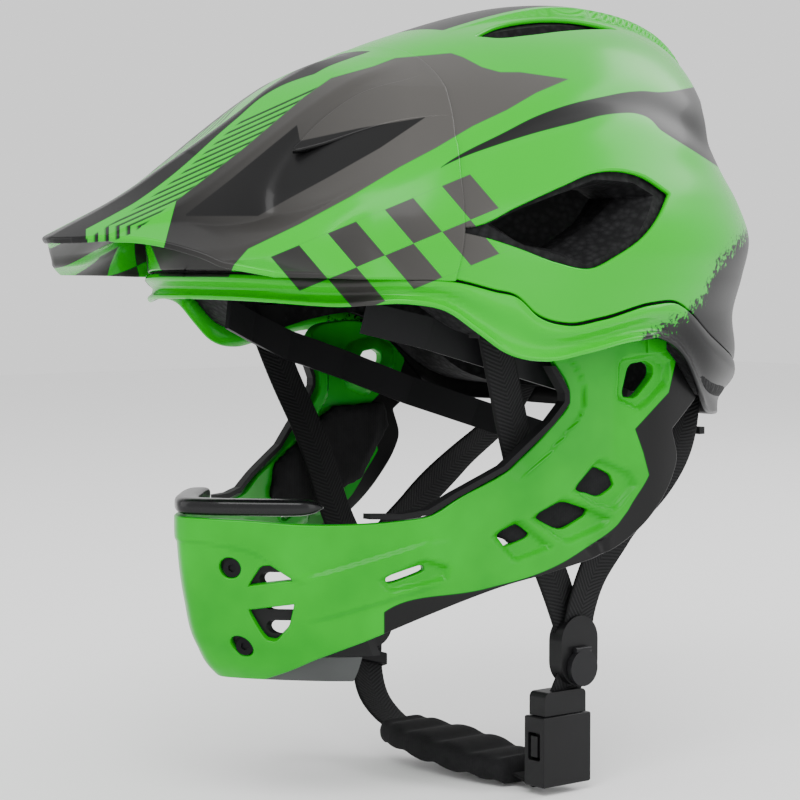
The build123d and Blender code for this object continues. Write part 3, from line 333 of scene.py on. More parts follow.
class Finish:
    """A new material; its nodes are added one by one."""

    def __init__(self, name):
        self.material = bpy.data.materials.new(name)
        self.material.use_nodes = True
        self.tree = self.material.node_tree
        self.shader = self.tree.nodes["Principled BSDF"]
        self.shader.inputs["Specular IOR Level"].default_value = 0.16
        self.place = self.add("ShaderNodeTexCoord", {}, output="Object")

    def add(self, kind, settings, output=0, **sockets):
        """One node: its settings first, then its sockets, each given a value or a link."""
        node = self.tree.nodes.new(kind)
        for key, value in settings.items():
            setattr(node, key, value)
        for key, value in sockets.items():
            socket = node.inputs[int(key[1:])] if key[1:].isdigit() else node.inputs[key.replace("_", " ")]
            self.feed(socket, value)
        return Field(self, node.outputs[output])

    def feed(self, socket, value):
        """Gives a socket a link, where the value is a field, or else the value itself."""
        if isinstance(value, Field):
            self.tree.links.new(value.socket, socket)
        else:
            socket.default_value = value

    def axes(self):
        """The three object coordinates in millimetres."""
        split = self.tree.nodes.new("ShaderNodeSeparateXYZ")
        self.tree.links.new(self.place.socket, split.inputs[0])
        return [Field(self, output) * 1000 for output in split.outputs]

    def noise(self, scale, detail=3, rough=0.5, vector=None):
        return self.add("ShaderNodeTexNoise", {}, Vector=vector or self.place, Scale=scale, Detail=detail,
                        Roughness=rough)

    def curve(self, value, points, sharp=False):
        """A line of given points as a function of value."""
        points = np.asarray(points, float)
        (low, bottom), (high, top) = points.min(0) - 1e-3, points.max(0) + 1e-3
        node = self.tree.nodes.new("ShaderNodeFloatCurve")
        line = node.mapping.curves[0]
        places = (points - (low, bottom)) / (high - low, top - bottom)
        while len(line.points) < len(places):
            line.points.new(0.5, 0.5)
        for point, place in zip(line.points, places):
            point.location = place
            point.handle_type = "VECTOR" if sharp else "AUTO"
        node.mapping.update()
        self.feed(node.inputs["Value"], (value - low) / (high - low))
        return Field(self, node.outputs[0]) * (top - bottom) + bottom

    def mix(self, share, first, second):
        """Two colours mixed by a share from 0 to 1."""
        node = self.tree.nodes.new("ShaderNodeMix")
        node.data_type = "RGBA"
        self.feed(node.inputs["Factor"], share)
        for socket, value in ((node.inputs[6], first), (node.inputs[7], second)):
            self.feed(socket, value if isinstance(value, Field) else (*value, 1))
        return Field(self, node.outputs[2])

    def bump(self, height, depth, strength=1.0):
        """A normal from a height that varies from 0 to 1 over a depth in metres."""
        return self.add("ShaderNodeBump", {}, Height=height, Distance=depth, Strength=strength)

    def set(self, **sockets):
        """The shader's own sockets, by name; gives back the finished material."""
        for key, value in sockets.items():
            if isinstance(value, tuple) and len(value) == 3:
                value = (*value, 1)
            self.feed(self.shader.inputs[key.replace("_", " ")], value)
        return self.material


class Field:
    """A value that varies over a surface. Sums and products add Math nodes."""

    def __init__(self, finish, socket):
        self.finish, self.socket = finish, socket

    def maths(self, operation, *others, clamp=False):
        """One Math node on this value and others."""
        node = self.finish.tree.nodes.new("ShaderNodeMath")
        node.operation, node.use_clamp = operation, clamp
        for socket, value in zip(node.inputs, (self, *others)):
            self.finish.feed(socket, value)
        return Field(self.finish, node.outputs[0])

    def __add__(self, other): return self.maths("ADD", other)
    def __radd__(self, other): return self.maths("ADD", other)
    def __sub__(self, other): return self.maths("SUBTRACT", other)
    def __rsub__(self, other): return (self * -1).maths("ADD", other)
    def __mul__(self, other): return self.maths("MULTIPLY", other)
    def __rmul__(self, other): return self.maths("MULTIPLY", other)
    def __truediv__(self, other): return self.maths("DIVIDE", other)
    def __abs__(self): return self.maths("ABSOLUTE")
    def least(self, other): return self.maths("MINIMUM", other)
    def most(self, other): return self.maths("MAXIMUM", other)
    def wave(self): return self.maths("SINE")
    def part(self): return self.maths("FRACT")

    def above(self, edge, blur=0.5):
        """One where the value passes edge, zero below it, with a narrow blend."""
        return ((self - edge) / blur).maths("ADD", 0.5, clamp=True)


def photo_axes(finish):
    """The picture places of a surface point, worked out from its own coordinates; both sides alike."""
    x, y, z = finish.axes()
    x = abs(x)

    def along(direction):
        shift = float(np.dot(picture_eye, direction))
        return x * float(direction[0]) + y * float(direction[1]) + z * float(direction[2]) - shift

    depth = along(picture_forward)
    across = along(picture_right) * picture_lens / depth + 400
    down = 400 - along(picture_up) * picture_lens / depth
    return x, y, z, across, down


green = (0.0, 0.44, 0.003)
satin_black = (0.004, 0.004, 0.0042)
warm_grey = (0.060, 0.057, 0.053)

# Lines of the paint, as places in the picture
panel_top = [(150, 300), (176, 201), (244, 148), (304, 97), (331, 78), (374, 66), (395, 58), (451, 53),
             (463, 57), (482, 67), (500, 72), (520, 72), (569, 79)]
panel_bottom = [(150, 277), (229, 277), (234, 265), (248, 249), (300, 224), (350, 197), (400, 167),
                (436, 148), (473, 126), (507, 110), (536, 93), (569, 79)]
swoosh_top = [(440, 168), (456, 157), (497, 136), (555, 109), (601, 97), (640, 91), (662, 92), (702, 86),
              (740, 84)]
swoosh_bottom = [(440, 169), (446, 165), (497, 145), (570, 124), (625, 113), (638, 114), (662, 131),
                 (703, 157), (740, 182)]
stripe_right = [(60, 262), (133, 233), (176, 201), (244, 148), (304, 97), (331, 78), (374, 70), (402, 66)]
hatch_step = 4.4
# Outline of the painted shade in the hollow beside each ridge
hollow_top = [(185, 215), (230, 180), (270, 147), (297, 125), (300, 141), (360, 128), (426, 117)]
hollow_bottom = [(185, 216), (258, 216), (290, 198), (327, 178), (380, 148), (426, 117)]
stripe_left = [(86, 233), (103, 223), (161, 184), (234, 121), (270, 92), (302, 78), (355, 65), (380, 61)]
splatter_line = [(640, 330), (700, 292), (715, 262), (739, 232), (770, 200)]


def shell_paint():
    """Clear coated green with satin black and grey panels, painted shade in the hollow beside each ridge, a
    checker band and a spattered rear.
    """
    finish = Finish("shell_paint")
    x, y, z, across, down = photo_axes(finish)
    panel = (down - finish.curve(across, panel_top, True)).above(0, 0.8) \
        * (finish.curve(across, panel_bottom, True) - down).above(0, 0.8) * (569 - across).above(0)
    swoosh = (down - finish.curve(across, swoosh_top)).above(0, 0.8) \
        * (finish.curve(across, swoosh_bottom) - down).above(0, 0.8) * across.above(441)
    peak = (-72 - y).above(0, 0.5) * z.above(18)
    nose = (86 - across).above(0, 0.6) * peak
    striped = (down - finish.curve(across, stripe_left)).above(0, 0.8) \
        * (finish.curve(across, stripe_right, True) - down).above(0, 0.8) * peak
    # Fine slanting lines in the lower right of the stripe, turning down over the nose
    slant = across * 0.41 + down.least(226) * 0.912
    hatch = (slant / hatch_step).part().above(0.62, 0.25) * striped * slant.above(209) \
        * (down - finish.curve(across, stripe_left)).above(6, 2)
    # The hollow beside each ridge is painted matt black under the lighter panel, as painted shade in the
    # valley and under the blade
    hollow_shade = (down - finish.curve(across, hollow_top, True)).above(0, 1.2) \
        * (finish.curve(across, hollow_bottom, True) - down).above(0, 1.2) \
        * across.above(186) * (425 - across).above(0)
    strip = (finish.curve(across, stripe_left) - down).above(0, 0.8) \
        * (9.5 - x).above(0) * (-48 - y).above(0)
    crown_strip = (17 - x).above(0, 0.4) * y.above(-18, 0.4) * z.above(90)
    # The checker band is a slanted grid of two rows; its cells alternate
    i = (across - 299) * 0.0259 + (down - 245) * -0.0221
    j = (across - 299) * 0.0090 + (down - 245) * 0.0217
    cell = (i.maths("FLOOR") + j.maths("FLOOR")).maths("MULTIPLY", 0.5).part().above(0.25, 0.02)
    checker = cell * j.above(0, 0.03) * (2 - j).above(0, 0.03) \
        * i.above(-1, 0.03) * (6 - i).above(0, 0.03)
    grain = finish.noise(900, 2)
    specks = finish.noise(450, 4, 0.7)
    behind = (down - finish.curve(across, splatter_line)) / 26
    rear = (behind + specks * 3.2 - 1.9).above(0, 0.12)
    rear = rear * across.above(640, 2)
    dark = panel.most(swoosh).most(strip).most(crown_strip).most(rear).most(nose).most(hatch)
    fresh = finish.mix(finish.noise(14, 2), green, (0.0, 0.38, 0.005))
    base = finish.mix(checker, fresh, finish.mix((across - 260) / 260, (0.008, 0.008, 0.008), warm_grey))
    # Painted shade: the panel's grey is left out in the hollow, so it shows satin black
    grey = (panel * ((across - 150) / 260)).maths("ADD", 0, clamp=True) * (1 - hollow_shade)
    base = finish.mix(dark, base, finish.mix(grey, satin_black, warm_grey))
    rough = 0.24 + (dark.most(checker)) * 0.14 + grain * 0.03
    return finish.set(Base_Color=base, Roughness=rough, Normal=finish.bump(grain, 0.00002, 0.25),
                      Coat_Weight=0.1, Coat_Roughness=0.12)


paint = shell_paint()
upper_low = np.interp(-26 * mm, dome_rows[:6, 0], dome_knots[:6])
upper_skin = cut_panel("shell_skin", shell_surface(upper_low, crown_knot), upper_keep, 330, 105,
                       skin, skin_roll, closed=True, pole=True)
finish_piece(upper_skin, "helmet", ["upper_shell"], paint)

# Lower shell
# The band under the seam is a second thin moulding. It swells below the seam, is hollowed above the lip
# and ends in a rolled lip over the foam.
swell_rise = 1.5 * mm
lip_rise = 1.2 * mm


def lower_surface(low, high):
    """The dome between two levels, swelling and hollowed across the band."""
    def surface(u, v):
        level = low + (high - low) * v
        plain = dome_plain(u, level)
        seam = smooth_through(seam_line[:, 0], seam_line[:, 1], plain[..., 1])
        lip = smooth_through(lip_line[:, 0], lip_line[:, 1], plain[..., 1])
        share = np.clip((seam - plain[..., 2]) / (seam - lip), 0, 1)
        relief = swell_rise * np.sin(2 * math.pi * share) + lip_rise * share ** 6
        return plain + dome_normal(u, level) * relief[..., None]
    return surface


def lower_keep(p):
    """Above zero between the seam and the lip line."""
    y, z = p[..., 1], p[..., 2]
    seam = smooth_through(seam_line[:, 0], seam_line[:, 1], y) - seam_gap
    return np.minimum(seam - z, z - smooth_through(lip_line[:, 0], lip_line[:, 1], y))


lower_high = np.interp(21 * mm, dome_rows[:6, 0], dome_knots[:6])
lower_skin = cut_panel("lower_skin", lower_surface(0, lower_high), lower_keep, 330, 42, skin, skin_roll,
                       closed=True)
finish_piece(lower_skin, "helmet", ["lower_shell"], paint)

# Visor
# A stiff moulded peak, clipped over the front of the dome. Its middle is raised between two ridges; outside
# each ridge is a valley that runs back under a blade, then a flat panel, a chamfer and a steep side.

# Distance along, height of the middle, then across and height of ridge, valley foot, panel, chamfer, edge
visor_rows = np.array([
    (-194, 25, 15, 23.5, 18, 23, 41, 21.5, 45, 20.5, 60, 18),
    (-180, 32, 19, 29, 21, 28, 44, 23, 48, 21.2, 62.5, 18.3),
    (-165, 39, 22, 35, 24, 33.5, 46.5, 24.5, 51, 22, 65, 18.5),
    (-150, 47, 25, 40.5, 29, 35.5, 49, 25.5, 54, 22, 67, 18.7),
    (-137, 55, 26, 47, 34, 34.5, 50.5, 27, 55, 22.8, 68.5, 18.5),
    (-120, 65, 27, 58, 37, 37.0, 54, 34, 59, 28.5, 70.5, 17.8),
    (-104, 75, 27.5, 69, 39, 43.5, 58.5, 43, 63.5, 37, 72.5, 16.5),
    (-90, 84.5, 28, 78, 41, 51, 63, 50.5, 68, 44, 76, 15.8),
    (-75, 92, 29, 86.5, 47, 62.5, 69, 59, 74.5, 52, 82, 15),
    (-60, 99, 31, 93, 55, 72, 76, 64, 80.5, 57.5, 89, 13.5),
    (-45, 105, 34, 98.5, 62, 79.5, 81, 69, 85, 63, 95, 11.5),
    (-34, 109, 36, 102, 66, 84, 84, 72, 88, 66, 98, 10),
]) * mm
visor_steps = np.array([0, 0.24, 0.42, 0.66, 0.73, 1.0])
nose_plan = smooth_outline(
    [(-104, -100), (-80, -126), (-64, -142), (-50, -153.5), (-36, -163.5), (-20, -175), (-8, -183),
     (0, -185.5), (8, -183), (20, -175), (36, -163.5), (50, -153.5), (64, -142), (80, -126), (104, -100)],
    [(130, -60)], [(130, 40)], [(-130, 40)], [(-130, -60)]) * mm
visor_rear = np.array([(-10, -76), (5, -74.4), (15, -72), (57, -64.5), (107, -42), (135, -37.4)]) * mm
blade_plan = smooth_outline([(35.5, -105), (39, -99), (45, -89), (53, -77), (61, -65), (71, -50), (78, -40)],
                            [(46, -40), (44, -56), (36, -76), (34.5, -90), (35.5, -105)]) * mm
visor_wall, visor_roll = 2.6 * mm, 1.0 * mm
blade_wall, blade_roll = 2.2 * mm, 0.9 * mm
dome_clearance = 0.8 * mm
crease_width = 2.4 * mm
middle_swell = 1.2 * mm


def dome_radius(points, height=20 * mm):
    """Across each slice, how far the dome reaches from a line at a height, toward each point."""
    across, up = points[..., 0], points[..., 2] - height
    reach = np.maximum(np.hypot(across, up), 1e-9)
    low, high = np.zeros_like(reach), np.full_like(reach, 0.15)
    for _ in range(22):
        half = (low + high) / 2
        z = np.clip(height + up / reach * half, dome_rows[0, 0], dome_rows[-2, 0] - 1e-6)
        _, front, rear, wide = np.moveaxis(smooth_through(
            dome_knots, dome_rows, np.interp(z, dome_rows[:-1, 0], dome_knots[:-1])), -1, 0)
        centre = front + (rear - front) * widest_share
        length = np.where(points[..., 1] < centre, centre - front, rear - centre)
        inner = ((across / reach * half / np.maximum(wide, 1e-9)) ** 2
                 + ((points[..., 1] - centre) / length) ** 2) < 1
        inner &= height + up / reach * half < dome_rows[-2, 0]
        low, high = np.where(inner, half, low), np.where(inner, high, half)
    return low, reach


def picked(table, index):
    """From each row of a table, the value at that row's own index."""
    return np.take_along_axis(table, index[..., None], -1)[..., 0]


def visor_surface(carved, first=-194 * mm, last=-34 * mm):
    """The peak: u goes across from edge to edge, v back from the nose; uncarved without its valleys."""
    def surface(u, v):
        y = first + (last - first) * v
        row = smooth_through(visor_rows[:, 0], visor_rows[:, 1:], y)
        across = np.stack([np.zeros_like(y), *np.moveaxis(row[..., 1::2], -1, 0)], -1)
        height = np.stack([row[..., 0], *np.moveaxis(row[..., 2::2], -1, 0)], -1)
        if not carved:
            share = (across[..., 2] - across[..., 1]) / (across[..., 3] - across[..., 1])
            height[..., 2] = height[..., 1] + share * (height[..., 3] - height[..., 1])
        side = np.abs(2 * u - 1)
        x, z = np.zeros_like(y), np.zeros_like(y)
        for shift, weight in ((-0.02, 0.12), (-0.01, 0.24), (0, 0.28), (0.01, 0.24), (0.02, 0.12)):
            at = np.clip(np.abs(side + shift), 0, 1)
            cell = np.clip(np.searchsorted(visor_steps, at, side="right") - 1, 0, 4)
            t = (at - visor_steps[cell]) / (visor_steps[cell + 1] - visor_steps[cell])
            x += weight * (picked(across, cell) * (1 - t) + picked(across, cell + 1) * t)
            z += weight * (picked(height, cell) * (1 - t) + picked(height, cell + 1) * t)
        swell = (1 - (side / 0.24) ** 2) * (side < 0.24)
        z = z + middle_swell * swell
        points = np.stack([x * np.sign(2 * u - 1), y, z], -1)
        dome, reach = dome_radius(points)
        settle = step_up(y, -72 * mm, -44 * mm)
        over = dome + dome_clearance
        # The larger of the two, with a soft crease between them
        clear = (reach + over + np.sqrt((reach - over) ** 2 + crease_width ** 2)) / 2
        wanted = clear * (1 - settle) + over * settle
        wanted = np.where(dome > 1 * mm, wanted, reach)
        points[..., 0] *= wanted / reach
        points[..., 2] = 20 * mm + (points[..., 2] - 20 * mm) * wanted / reach
        return points
    return surface


def visor_keep(p):
    """Above zero inside the nose's plan and ahead of the visor's rear edge."""
    nose = inside_by(p[..., 0], p[..., 1], nose_plan)
    return np.minimum(nose, smooth_through(visor_rear[:, 0], visor_rear[:, 1], p[..., 2]) - p[..., 1])


def blade_keep(p):
    """Above zero on the visor inside the plan of a blade."""
    return np.minimum(visor_keep(p), inside_by(np.abs(p[..., 0]), p[..., 1], blade_plan))


visor_roof = cut_panel("visor_roof", visor_surface(True), visor_keep, 230, 110, visor_wall, visor_roll)
visor_blade = cut_panel("visor_blade", visor_surface(False, -110 * mm), blade_keep, 230, 60,
                        blade_wall, blade_roll)
finish_piece(visor_roof, "helmet", ["visor"], paint)
finish_piece(visor_blade, "helmet", [], paint)

# Chin guard
# A satin moulding that wraps the jaw: a high front with two vents, two arms pierced by windows in shallow
# recesses, and a flange round the eye port. Two screws on each side hold the grille behind its front.

guard_plan = np.array([(0, -131), (8, -127.5), (20, -118), (37, -101), (50, -80.5), (60, -62), (71, -33),
                       (79.5, -8), (84, 12), (86, 30), (83.5, 55), (77.4, 90)]) * mm
guard_turn = np.r_[0, np.cumsum(np.hypot(*np.diff(guard_plan, axis=0).T))]
# Height, then shares of the half width and of the front
guard_levels = np.array([(-139.4, 0.93, 0.80), (-130, 0.965, 0.885), (-120, 0.985, 0.94), (-104.5, 1, 0.975),
                         (-83, 1, 1), (-60, 1, 1), (20, 1, 1)])
guard_side = smooth_outline(
    [(-146, -71.5), (-118, -72.5), (-101, -74), (-71, -73), (-61.5, -71.5), (-51.5, -65.5), (-33, -56),
     (-15, -39.5), (-8.5, -31.5), (-8.5, -27), (-16, -14)],
    [(-16, -14), (-11, -7.5), (6, -4), (18, -4), (30, -7.5), (40, -15), (52, -27.2), (56, -31.2)],
    [(56, -31.2), (40, -43)],
    [(40, -43), (43, -55), (41, -60), (31, -73), (13, -86), (-12.5, -94), (-35, -99.5), (-60.5, -108.5),
     (-79.5, -117.5), (-94, -125), (-104, -134)], [(-146, -134)]) * mm


def cut_corners(corners, share=0.2, times=2):
    """An outline with every corner cut back, and the new corners cut back again."""
    found = np.array(corners, float)
    for _ in range(times):
        after = np.roll(found, -1, 0)
        near, far = found * (1 - share) + after * share, found * share + after * (1 - share)
        found = np.stack([near, far], 1).reshape(-1, 2)
    return found * mm


guard_windows = [cut_corners(corners, 0.14) for corners in (
    [(18.5, -17.5), (26.8, -16.5), (30.9, -18.5), (30.9, -22), (21.8, -30.5), (15.3, -29.5)],
    [(2.9, -55.5), (10.4, -59), (12.2, -63.5), (5.1, -67.5), (-5.6, -63.5)],
    [(-21.8, -73), (-10.9, -68.5), (1.2, -73), (-10.7, -79.5)],
    [(-35.3, -79.5), (-28.6, -76.5), (-27, -77.5), (-22.9, -81), (-32, -84.5)],
    [(-76.1, -94), (-63, -90), (-62.3, -92), (-74, -96.5)])]
guard_recesses = [cut_corners(corners, 0.1) for corners in (
    [(12, -14.5), (29.3, -12.5), (39, -16.5), (38, -25.5), (22.5, -36), (10.5, -31)],
    [(2.9, -51.5), (18, -57.5), (22, -63.5), (11.4, -73.5), (1, -71), (-9, -64.5)],
    [(-26, -74), (-10.9, -65.5), (10.5, -75), (7, -79), (-9.9, -85)],
    [(-40, -79.5), (-28.6, -73), (-13.5, -85.5), (-30.2, -91)],
    [(-80, -94.5), (-63.5, -86.5), (-53.5, -90), (-54.5, -96), (-75, -100.5)])]
recess_depth = 2.4 * mm
flange_depth = 1.4 * mm
side_crease_depth = 1.3 * mm
dish_depth = 0.8 * mm
window_gap = 0.8 * mm
screw_hole_radius = 4.6 * mm
guard_vent = cut_corners([(20.4, -97.5), (24.8, -89.5), (27, -89.5), (32.7, -94.5), (32, -103.5),
                          (29.6, -112.5), (25.1, -118), (22.7, -117.5), (19.5, -106.5)], 0.14)
guard_vent_bar = cut_corners([(14, -98.2), (38, -93.8), (38, -102.8), (14, -107.2)], 0.1)
guard_wall, guard_roll = 4.3 * mm, 0.8 * mm
screw_holes = ((15.8 * mm, -90.5 * mm), (14.8 * mm, -120 * mm))
front_crease = np.array([(-44, -98), (-32.8, -93.5), (-23.7, -84.5), (-15.3, -82), (0, -80.5), (15.3, -82),
                         (23.7, -84.5), (32.8, -93.5), (44, -98)]) * mm


def guard_plain(u, z):
    """The jaw guard before its recesses: u goes round from the right rear to the left rear."""
    way = (2 * u - 1) * guard_turn[-1]
    both = np.concatenate([-guard_turn[:0:-1], guard_turn])
    outline = np.concatenate([guard_plan[:0:-1] * (-1, 1), guard_plan])
    plan = smooth_through(both, outline, way)
    level = smooth_through(guard_levels[:, 0], guard_levels[:, 1:], z / mm)
    y = np.where(plan[..., 1] < 0, plan[..., 1] * level[..., 1], plan[..., 1])
    return np.stack([plan[..., 0] * level[..., 0], y, z], -1)


def guard_relief(p):
    """Height of the guard's face over its plain form: recesses, flange, side creases and the dished front."""
    x, y, z = np.abs(p[..., 0]), p[..., 1], p[..., 2]
    relief = np.zeros_like(x)
    on_side = step_up(x, 48 * mm, 54 * mm)
    for outline in guard_recesses:
        relief -= recess_depth * step_up(inside_by(y, z, outline), 0, 2.8 * mm) * on_side
    edge = inside_by(y, z, guard_side)
    port = step_up(y, -66 * mm, -56 * mm) * step_up(-12 * mm - z, 0, 4 * mm)
    port = port * step_up(y + z, -90 * mm, -80 * mm)
    relief -= flange_depth * (1 - step_up(edge, 5.2 * mm, 6.2 * mm)) * port * step_up(10 * mm - y, 0, 6 * mm)
    upper = z - np.interp(y, np.array([-99, -61.5]) * mm, np.array([-93, -81]) * mm)
    lower = z - np.interp(y, np.array([-98, -61]) * mm, np.array([-110, -98]) * mm)
    middle = step_up(x, 33 * mm, 41 * mm) * step_up(-52 * mm - y, 0, 16 * mm)
    groove = step_up(lower, -1.2 * mm, 1.2 * mm) - step_up(upper, -1.2 * mm, 1.2 * mm)
    relief += side_crease_depth * groove * middle
    middle_x = np.clip(p[..., 0], -44 * mm, 44 * mm)
    below = smooth_through(front_crease[:, 0], front_crease[:, 1], middle_x) - z
    dish = step_up(below, -0.5 * mm, 1.5 * mm) * step_up(40 * mm - x, 0, 8 * mm)
    dish = dish * step_up(z, -130 * mm, -122 * mm)
    relief -= dish_depth * dish * (y < -60 * mm)
    return relief


def guard_surface(low=-136 * mm, high=-2 * mm):
    """The jaw guard with its relief, taken along the level normal of the plain form."""
    def surface(u, v):
        z = low + (high - low) * v
        plain = guard_plain(u, z)
        along = guard_plain(u + 1e-4, z) - guard_plain(u - 1e-4, z)
        normal = np.stack([along[..., 1], -along[..., 0], np.zeros_like(z)], -1)
        normal /= np.linalg.norm(normal, axis=-1, keepdims=True)
        return plain + normal * guard_relief(plain)[..., None]
    return surface


def guard_keep(p):
    """Above zero inside the guard's side view, outside its windows, front vents and screw holes."""
    x, y, z = np.abs(p[..., 0]), p[..., 1], p[..., 2]
    value = inside_by(y, z, guard_side) - 1 * mm
    for outline in guard_windows:
        value = np.minimum(value, np.where(x > 46 * mm, -inside_by(y, z, outline), 1) - window_gap)
    vent = np.minimum(inside_by(x, z, guard_vent), -inside_by(x, z, guard_vent_bar))
    value = np.minimum(value, np.where(y < -60 * mm, -vent, 1) - window_gap)
    for x_hole, z_hole in screw_holes:
        hole = np.hypot((x - x_hole) / 0.79, z - z_hole) - screw_hole_radius
        value = np.minimum(value, np.where(y < -60 * mm, hole, 1))
    return value


def guard_finish():
    """Satin green with soft cloudy patches, and a black stripe painted along the rear and lower edge."""
    finish = Finish("guard_paint")
    x, y, z, across, down = photo_axes(finish)
    outer = [(375, 640), (383, 613), (488, 588), (547, 570), (590, 545), (618, 524), (634, 500), (649, 475),
             (652, 465)]
    stripe = (down - finish.curve(across, outer)).above(0, 0.8) * across.above(384, 0.8)
    rear_edge = [(355, 696), (380, 680), (429, 635), (452, 643), (475, 649), (490, 643), (524, 618)]
    rear = (across - finish.curve(down, rear_edge, True)).above(0, 0.8) * down.above(352)
    dark = stripe.most(rear) * x.above(38)
    cloud = finish.noise(26, 3, 0.55)
    fine = finish.noise(700, 2)
    base = finish.mix(cloud, (0.0, 0.17, 0.002), (0.0, 0.42, 0.006))
    base = finish.mix(dark, base, satin_black)
    return finish.set(Base_Color=base, Roughness=0.33 + fine * 0.05, Normal=finish.bump(fine, 0.00003, 0.3),
                      Coat_Weight=0.05)


guard_paint = guard_finish()
guard_skin = cut_panel("guard_skin", guard_surface(), guard_keep, 320, 110, guard_wall, guard_roll)
finish_piece(guard_skin, "guard", ["chin_guard"], guard_paint)

# Lip of the chin bar
# A glossy rubber moulding with round edges, pressed over the top of the bar between the two arms.


def closed_skin(name, rings):
    """A closed skin through rings of points, each end closed on its ring's middle, facing outward."""
    along, around = rings.shape[:2]
    index = np.arange(along * around).reshape(along, around)
    turned = np.roll(index, -1, 1)
    quads = np.stack([index[:-1], turned[:-1], turned[1:], index[1:]], -1).reshape(-1, 4)
    first, last = np.full(around, along * around), np.full(around, along * around + 1)
    caps = np.concatenate([np.stack([first, turned[0], index[0]], -1),
                           np.stack([last, index[-1], turned[-1]], -1)])
    points = np.concatenate([rings.reshape(-1, 3), rings[[0, -1]].mean(1)])
    corners = np.concatenate([caps, quads[:, [0, 1, 2]], quads[:, [0, 2, 3]]])
    a, b, c = (points[corners[:, i]] for i in range(3))
    volume = np.einsum("ij,ij->", a, np.cross(b, c))
    faces = caps.tolist() + quads.tolist()
    if volume < 0:
        faces = [face[::-1] for face in faces]
    mesh = bpy.data.meshes.new(name)
    mesh.from_pydata(points, [], faces)
    mesh.shade_smooth()
    return bpy.data.objects.new(name, mesh)


def round_section(around, power):
    """Places across and up, from -1 to 1, round a rounded oblong; a lower power is squarer."""
    turn = np.linspace(0, 2 * math.pi, around, endpoint=False)
    return [np.sign(wave) * np.abs(wave) ** power for wave in (np.cos(turn), np.sin(turn))]


def moulded(name, colour, rough, depth=0.00003, coat=0.0, metallic=0.0):
    """Moulded plastic or rubber: a colour that varies a little, and a fine grain."""
    finish = Finish(name)
    grain, cloud = finish.noise(650, 2), finish.noise(38, 3)
    base = finish.mix(cloud, tuple(0.75 * part for part in colour), tuple(1.3 * part for part in colour))
    return finish.set(Base_Color=base, Roughness=rough + grain * 0.09, Metallic=metallic,
                      Normal=finish.bump(grain, depth, 0.35), Coat_Weight=coat)


lip_low, lip_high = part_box("lip_cushion")
lip_half = 39.5 * mm
lip_inset = 11
lip_turn = np.interp(lip_half, guard_plan[:5, 0], guard_turn[:5]) / guard_turn[-1] / 2
lip_way = np.linspace(-1, 1, 121)
lip_outer = guard_plain(0.5 + lip_turn * lip_way, np.full(121, -70 * mm))
lip_inner = lip_outer * [(86 - lip_inset) / 86, (131 - lip_inset) / 131, 1]
lip_taper = np.maximum(1 - np.abs(lip_way) ** 18, 0.12)[:, None]
across, up = round_section(28, 0.6)
lip_rings = ((lip_outer + lip_inner) / 2)[:, None] + (
    ((lip_outer - lip_inner) / 2)[:, None] * across[:, None] * 0.97 * lip_taper[..., None])
lip_rings[..., 2] = (lip_low[2] + lip_high[2]) / 2 + up * (lip_high[2] - lip_low[2]) / 2 * lip_taper
black_rubber = moulded("black_rubber", (0.005, 0.005, 0.0055), 0.24, coat=0.2)
lip_moulding = closed_skin("lip_moulding", lip_rings)
finish_piece(lip_moulding, "guard", ["lip_cushion"], black_rubber)

# Webbing
# Flat woven straps, 15 mm wide, from the plugs in the foam through the two dividers to the buckle and the
# chin pad. The weave is a fine twill with a plain edge.
webbing_width, webbing_thickness = 15 * mm, 1.3 * mm
front_route = [(70.4, -40, -3), (67.4, -31, -26), (63.2, -20, -52), (61.8, -8, -84), (60.8, 4, -108),
               (60.75, 8.5, -119), (60.75, 10, -124.5)]
rear_route = [(48, 87, -30), (53, 79, -45), (60.6, 58, -64.5), (62.2, 34, -83), (64, 18, -99),
              (63.55, 12.5, -112), (63.25, 10, -124.5)]
lower_route = [(62, 10, -131.5), (61.8, 9.5, -137), (61.2, 7, -142.5), (60.4, 4.6, -148.5)]
chin_route = [(-62, 10, -131.5), (-61, 8, -139.5), (-57.5, 5, -149.5), (-50, 2, -159.5), (-38, 0.5, -166.8),
              (-20, 0, -171), (0, 0, -173.8), (20, 0.6, -175.4), (38, 1.6, -176.8), (48, 2.4, -178.4),
              (54, 3, -180.4)]


def webbing(name, route, side=1):
    """A strap along a smooth route, lying flat from front to back, with its places kept for the weave."""
    route = np.array(route) * (side * mm, mm, mm)
    knots = np.r_[0, np.cumsum(np.linalg.norm(np.diff(route, axis=0), axis=1))]
    at = np.linspace(0, knots[-1], int(knots[-1] / mm) + 2)
    place = smooth_through(knots, route, at)
    way = np.gradient(place, at, axis=0)
    way /= np.linalg.norm(way, axis=1, keepdims=True)
    wide = (0, 1, 0) - way * way[:, 1:2]
    wide /= np.linalg.norm(wide, axis=1, keepdims=True)
    across, up = round_section(24, 0.4)
    ribs = 1 + 0.12 * np.sin(at / (2.4 * mm) * 2 * math.pi)[:, None]
    rings = place[:, None] + wide[:, None] * across[:, None] * webbing_width / 2 \
        + np.cross(way, wide)[:, None] * (up * ribs)[..., None] * webbing_thickness / 2
    piece = closed_skin(name, rings)
    weave = np.stack(np.broadcast_arrays(at[:, None], across * webbing_width / 2, 0.0), -1).reshape(-1, 3)
    ends = [(at[0], 0, 0), (at[-1], 0, 0)]
    places = piece.data.attributes.new("weave", "FLOAT_VECTOR", "POINT")
    places.data.foreach_set("vector", np.concatenate([weave, ends]).ravel())
    return piece


